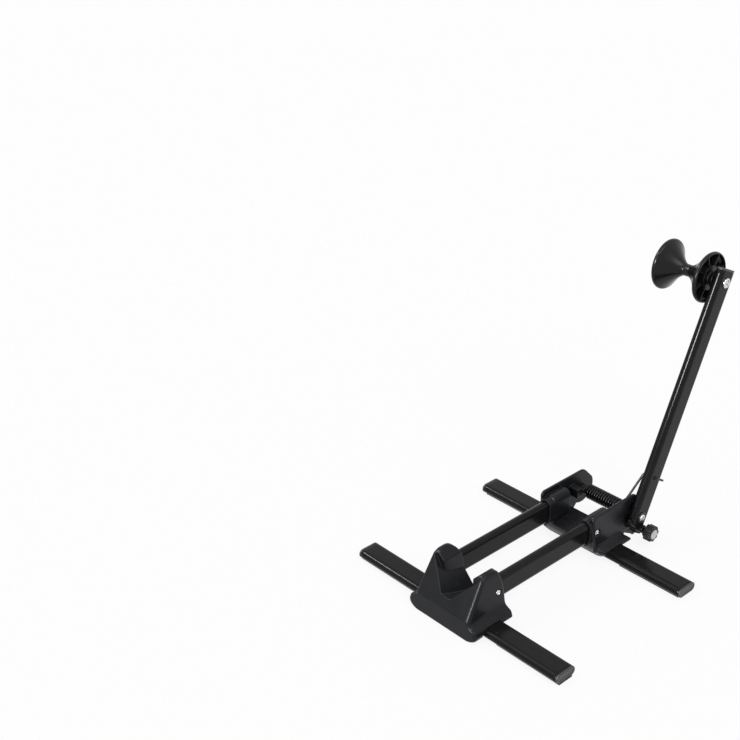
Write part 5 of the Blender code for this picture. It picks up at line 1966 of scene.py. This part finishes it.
    def roller_bush(self, side: Side) -> None:
        """Builds one flanged bush.

        Args:
            side: Which end of the roller.
        """
        outer = self.half + FIT + self.bush_flange
        inner = outer - self.bush_flange - self.bush_length
        flange = self.bush / 2 + 2.5 * MM
        corners = [
            (inner, self.bush / 2, 0.3 * MM),
            (self.half + FIT, self.bush / 2, 0),
            (self.half + FIT, flange, 0.2 * MM),
            (outer, flange, 0.5 * MM),
            (outer, self.bore / 2, 0.2 * MM),
            (inner, self.bore / 2, 0.2 * MM),
        ]
        shape = revolve([(side.value * x, r) for x, r in filleted(corners, closed=True)], 96)
        node = f"roller_bush_{side.word}"
        self.shop.deliver(f"{node}_nylon", to_mesh(shape, "bush", self.place), NYLON, Body.ROLLER, node)

    def roller_spacer(self) -> None:
        """Builds the tapered spacer between the roller and the arm."""
        low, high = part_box("roller_spacer")
        wide = self.spacer / 2
        corners = [
            (low.x, wide - 5 * MM, 0.4 * MM),
            (low.x + 2 * MM, wide - 4.4 * MM, 2 * MM),
            (high.x - 4 * MM, wide - 1 * MM, 3 * MM),
            (high.x - 2 * MM, wide, 1 * MM),
            (high.x, wide, 0.4 * MM),
            (high.x, self.bore / 2, 0),
            (low.x, self.bore / 2, 0.3 * MM),
        ]
        mesh = to_mesh(revolve(filleted(corners, closed=True), 128), "spacer", self.shop.on_axle)
        self.shop.deliver("roller_spacer_moulding", mesh, MOULDING, Body.ARM, "roller_spacer")

    def axle_bolt(self) -> None:
        """Builds the axle bolt with its cross-recessed head."""
        low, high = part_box("roller_axle_bolt")
        seat = high.x - self.axle_head_height
        length = seat - low.x
        screw = pan_head(self.axle_head, self.axle_head_height, self.axle, length, *self.axle_recess)
        turned = Matrix.Rotation(self.axle_head_turn, 4, "X")
        screw.transform(self.shop.on_axle @ Matrix.Translation((seat, 0, 0)) @ turned)
        self.shop.deliver("roller_axle_bolt_zinc", screw, STEEL, Body.ARM, "roller_axle_bolt", sharp=35)

    def axle_nut(self) -> None:
        """Builds the washer and the nut at the axle's far end."""
        arm = Body.ARM
        around = self.shop.on_axle
        node = "roller_axle_washer"
        self.shop.lay_washer(node, f"{node}_zinc", STEEL, arm, around, self.bore, self.axle_washer)
        self.shop.turn_nut("roller_axle_nut", self.across_flats, arm, around, self.bore)


@dataclass
class Knob:
    """The lobed knob with its stud and the plain insert in its end."""

    shop: Workshop
    radius: float = 12.6 * MM
    lobes: int = 8
    lobe_depth: float = 1.9 * MM
    hub: float = 12.0 * MM
    hub_length: float = 5.0 * MM
    stud: float = 8.0 * MM
    insert: float = 15.0 * MM
    insert_thickness: float = 1.2 * MM
    steps: int = 192

    def build(self) -> None:
        """Builds and delivers the knob, its stud and its insert."""
        low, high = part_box("locking_knob")
        self.start = low.x
        self.end = high.x
        self.grip()
        self.threaded_stud()
        self.end_insert()

    def lobed(self, x: float, inset: float) -> list[Point3]:
        """One ring of the lobed grip.

        Args:
            x: Its place along the knob's axis.
            inset: How far it lies inside the widest ring.

        Returns:
            The ring's points.
        """
        points = []
        for a in turn_angles(self.steps):
            dip = ((1 - cos(self.lobes * a)) / 2) ** 1.3
            reach = self.radius - inset - self.lobe_depth * dip
            points.append((x, reach * cos(a), reach * sin(a)))
        return points

    def plain(self, x: float, radius: float) -> list[Point3]:
        """One round ring at a place along the knob's axis."""
        return [(x, radius * cos(a), radius * sin(a)) for a in turn_angles(self.steps)]

    def grip(self) -> None:
        """Builds the knob's moulding."""
        body = self.start + self.hub_length
        fit = self.insert / 2 + FIT
        floor = self.end - self.insert_thickness - FIT + 0.5 * MM
        rings = [
            self.plain(self.start, self.stud / 2 + FIT),
            self.plain(self.start, self.hub / 2 - 0.3 * MM),
            self.plain(self.start + 0.3 * MM, self.hub / 2),
            self.plain(body - 0.6 * MM, self.hub / 2 + 0.6 * MM),
            self.plain(body, self.hub / 2 + 1.2 * MM),
            self.lobed(body, 2.0 * MM),
        ]
        edge = 1.2 * MM
        for i in range(1, 6):
            angle = pi / 2 * i / 5
            rings.append(self.lobed(body + edge * (1 - cos(angle)), edge * (1 - sin(angle))))
        for i in range(6):
            angle = pi / 2 * i / 5
            rings.append(self.lobed(self.end - 1.5 * edge * (1 - sin(angle)), 1.5 * edge * (1 - cos(angle))))
        rings += [self.plain(self.end, fit + 0.3 * MM), self.plain(self.end - 0.3 * MM, fit)]
        rings += [self.plain(floor, fit), self.plain(floor, self.stud / 2)]
        mesh = to_mesh(skin(rings), "knob", self.shop.on_knob)
        self.shop.deliver("locking_knob_grip", mesh, KNOB_SKIN, Body.KNOB, "locking_knob", sharp=42)

    def threaded_stud(self) -> None:
        """Builds the stud with a rolled thread where it shows between the knob and the housing."""
        low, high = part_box("knob_stud")
        radius = self.stud / 2
        pitch = 1.25 * MM
        outline = [(low.x, 0), (low.x, radius - 0.8 * MM)]
        x = low.x + 0.8 * MM
        while x < high.x - pitch:
            outline += [(x, radius), (x + pitch * 0.5, radius - 0.55 * MM)]
            x += pitch
        outline += [(high.x, radius - 0.4 * MM), (high.x, 0)]
        mesh = to_mesh(revolve(outline, 64, closed=False), "stud", self.shop.on_knob)
        self.shop.deliver("knob_stud_zinc", mesh, STEEL, Body.KNOB, "knob_stud", sharp=60)

    def end_insert(self) -> None:
        """Builds the plain disc in the knob's end, with a raised rim."""
        low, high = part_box("knob_insert")
        radius = self.insert / 2
        corners = [
            (low.x, 0, 0),
            (low.x, radius, 0.1 * MM),
            (high.x, radius, 0.35 * MM),
            (high.x, radius - 1.0 * MM, 0.1 * MM),
            (high.x - 0.3 * MM, radius - 1.3 * MM, 0.2 * MM),
            (high.x - 0.3 * MM, 0, 0),
        ]
        shape = revolve(filleted(corners, closed=False), 96, closed=False)
        mesh = to_mesh(shape, "insert", self.shop.on_knob)
        self.shop.deliver("knob_insert_disc", mesh, INSERT, Body.KNOB, "knob_insert")


@dataclass
class Studio:
    """Pale floor, soft light and the camera at the photograph's angle."""

    lens: float = 61.43
    sensor: float = 36.0
    azimuth: float = 47.67
    elevation: float = 27.02
    roll: float = -0.14
    camera_at: Point3 = (0.9489, -1.26095, 1.0879)
    floor_size: float = 60.0
    floor_drop: float = 0.2 * MM
    floor_white: float = 0.88
    side_light: float = 0.4
    overhead_light: float = 0.6
    overhead_from: float = 0.9

    def build(self) -> None:
        """Builds the camera, the lamps, the floor and the world."""
        self.camera()
        self.lamps()
        self.floor()
        self.world()

    def camera(self) -> None:
        """Places the camera as the photograph's was."""
        data = bpy.data.cameras.new("photo_camera")
        data.lens = self.lens
        data.sensor_width = self.sensor
        data.clip_start = 0.02
        data.clip_end = 200
        made = bpy.data.objects.new("photo_camera", data)
        bpy.context.scene.collection.objects.link(made)
        turn = radians(self.azimuth)
        tilt = radians(self.elevation)
        forward = Vector((-sin(turn) * cos(tilt), cos(turn) * cos(tilt), -sin(tilt)))
        right = forward.cross(Vector((0, 0, 1))).normalized()
        up = right.cross(forward)
        roll = radians(self.roll)
        right, up = right * cos(roll) + up * sin(roll), up * cos(roll) - right * sin(roll)
        axes = Matrix((right, up, -forward)).transposed().to_4x4()
        made.matrix_world = Matrix.Translation(self.camera_at) @ axes
        bpy.context.scene.camera = made

    def lamps(self) -> None:
        """Hangs two broad lamps for the tones and two narrow ones that only draw lines on rounded edges."""
        for name, strength, spread, azimuth, height, only_gloss in (
            ("key_lamp", 1.3, 40, 75, 52, False),
            ("fill_lamp", 0.5, 40, -40, 50, False),
            ("left_strip_lamp", 1.4, 14, -58, 40, True),
            ("front_strip_lamp", 4.2, 15, 0, 18, True),
        ):
            data = bpy.data.lights.new(name, "SUN")
            data.energy = strength
            data.angle = radians(spread)
            lamp = bpy.data.objects.new(name, data)
            lamp.visible_diffuse = not only_gloss
            bpy.context.scene.collection.objects.link(lamp)
            turn = radians(azimuth)
            rise = radians(height)
            towards = Vector((sin(turn) * cos(rise), -cos(turn) * cos(rise), sin(rise)))
            lamp.rotation_euler = towards.to_track_quat("Z", "Y").to_euler()

    def floor(self) -> None:
        """Lays the pale floor, which stays white round the stand's soft shadow."""
        half = self.floor_size / 2
        corners = [(-half, -half, 0), (half, -half, 0), (half, half, 0), (-half, half, 0)]
        mesh = bpy.data.meshes.new("floor")
        mesh.from_pydata(corners, [], [(0, 1, 2, 3)])
        mesh.transform(Matrix.Translation((0, 0, -self.floor_drop)))
        floor = as_object(mesh, "studio_floor")
        made = bpy.data.materials.new("studio_floor")
        made.use_nodes = True
        sheet = Sheet(made.node_tree)
        made.node_tree.nodes.remove(made.node_tree.nodes["Principled BSDF"])
        matt = sheet.node("ShaderNodeBsdfDiffuse", {"Color": (0.9, 0.9, 0.9, 1.0)})
        white = sheet.node("ShaderNodeEmission", {"Color": (1.0, 1.0, 1.0, 1.0), "Strength": 1.0})
        share = sheet.math("MULTIPLY", seen_rays(sheet), self.floor_white)
        mixed = sheet.node("ShaderNodeMixShader", {0: share, 1: matt.outputs[0], 2: white.outputs[0]})
        sheet.tree.links.new(mixed.outputs[0], made.node_tree.nodes["Material Output"].inputs["Surface"])
        mesh.materials.append(made)

    def world(self) -> None:
        """Makes a white background, which lights the stand less from the sides than from overhead."""
        world = bpy.data.worlds.new("studio")
        bpy.context.scene.world = world
        world.use_nodes = True
        sheet = Sheet(world.node_tree)
        background = world.node_tree.nodes["Background"]
        direction = sheet.node("ShaderNodeTexCoord").outputs["Generated"]
        parts = sheet.node("ShaderNodeSeparateXYZ", {0: direction})
        upward = parts.outputs["Z"]
        dome = sheet.span(upward, 0.0, self.overhead_from, self.side_light, self.overhead_light)
        strength = sheet.node("ShaderNodeMix", {0: seen_rays(sheet), 2: dome, 3: 1.0}, data_type="FLOAT")
        sheet.tree.links.new(strength.outputs[0], background.inputs["Strength"])
        background.inputs["Color"].default_value = (1.0, 1.0, 1.0, 1.0)


def seen_rays(sheet: Sheet) -> bpy.types.NodeSocket:
    """Mask of the rays that show a surface: from the camera, off gloss or through glass.

    Args:
        sheet: The tree to add it to.

    Returns:
        The mask.
    """
    path = sheet.node("ShaderNodeLightPath")
    shown = sheet.math("MAXIMUM", path.outputs["Is Camera Ray"], path.outputs["Is Glossy Ray"])
    return sheet.math("MAXIMUM", shown, path.outputs["Is Transmission Ray"])


def main() -> None:
    """Builds the studio and every sub-assembly."""
    logging.basicConfig(level=logging.INFO, format="%(name)s: %(message)s")
    bpy.context.scene.view_settings.view_transform = "Standard"
    Studio().build()
    shop = Workshop.open()
    for assembly in (Feet, Rails, Mouldings, Screws, Arm, Pivot, Roller, Knob):
        log.info("building %s", assembly.__name__)
        assembly(shop).build()


if __name__ == "__main__":
    main()
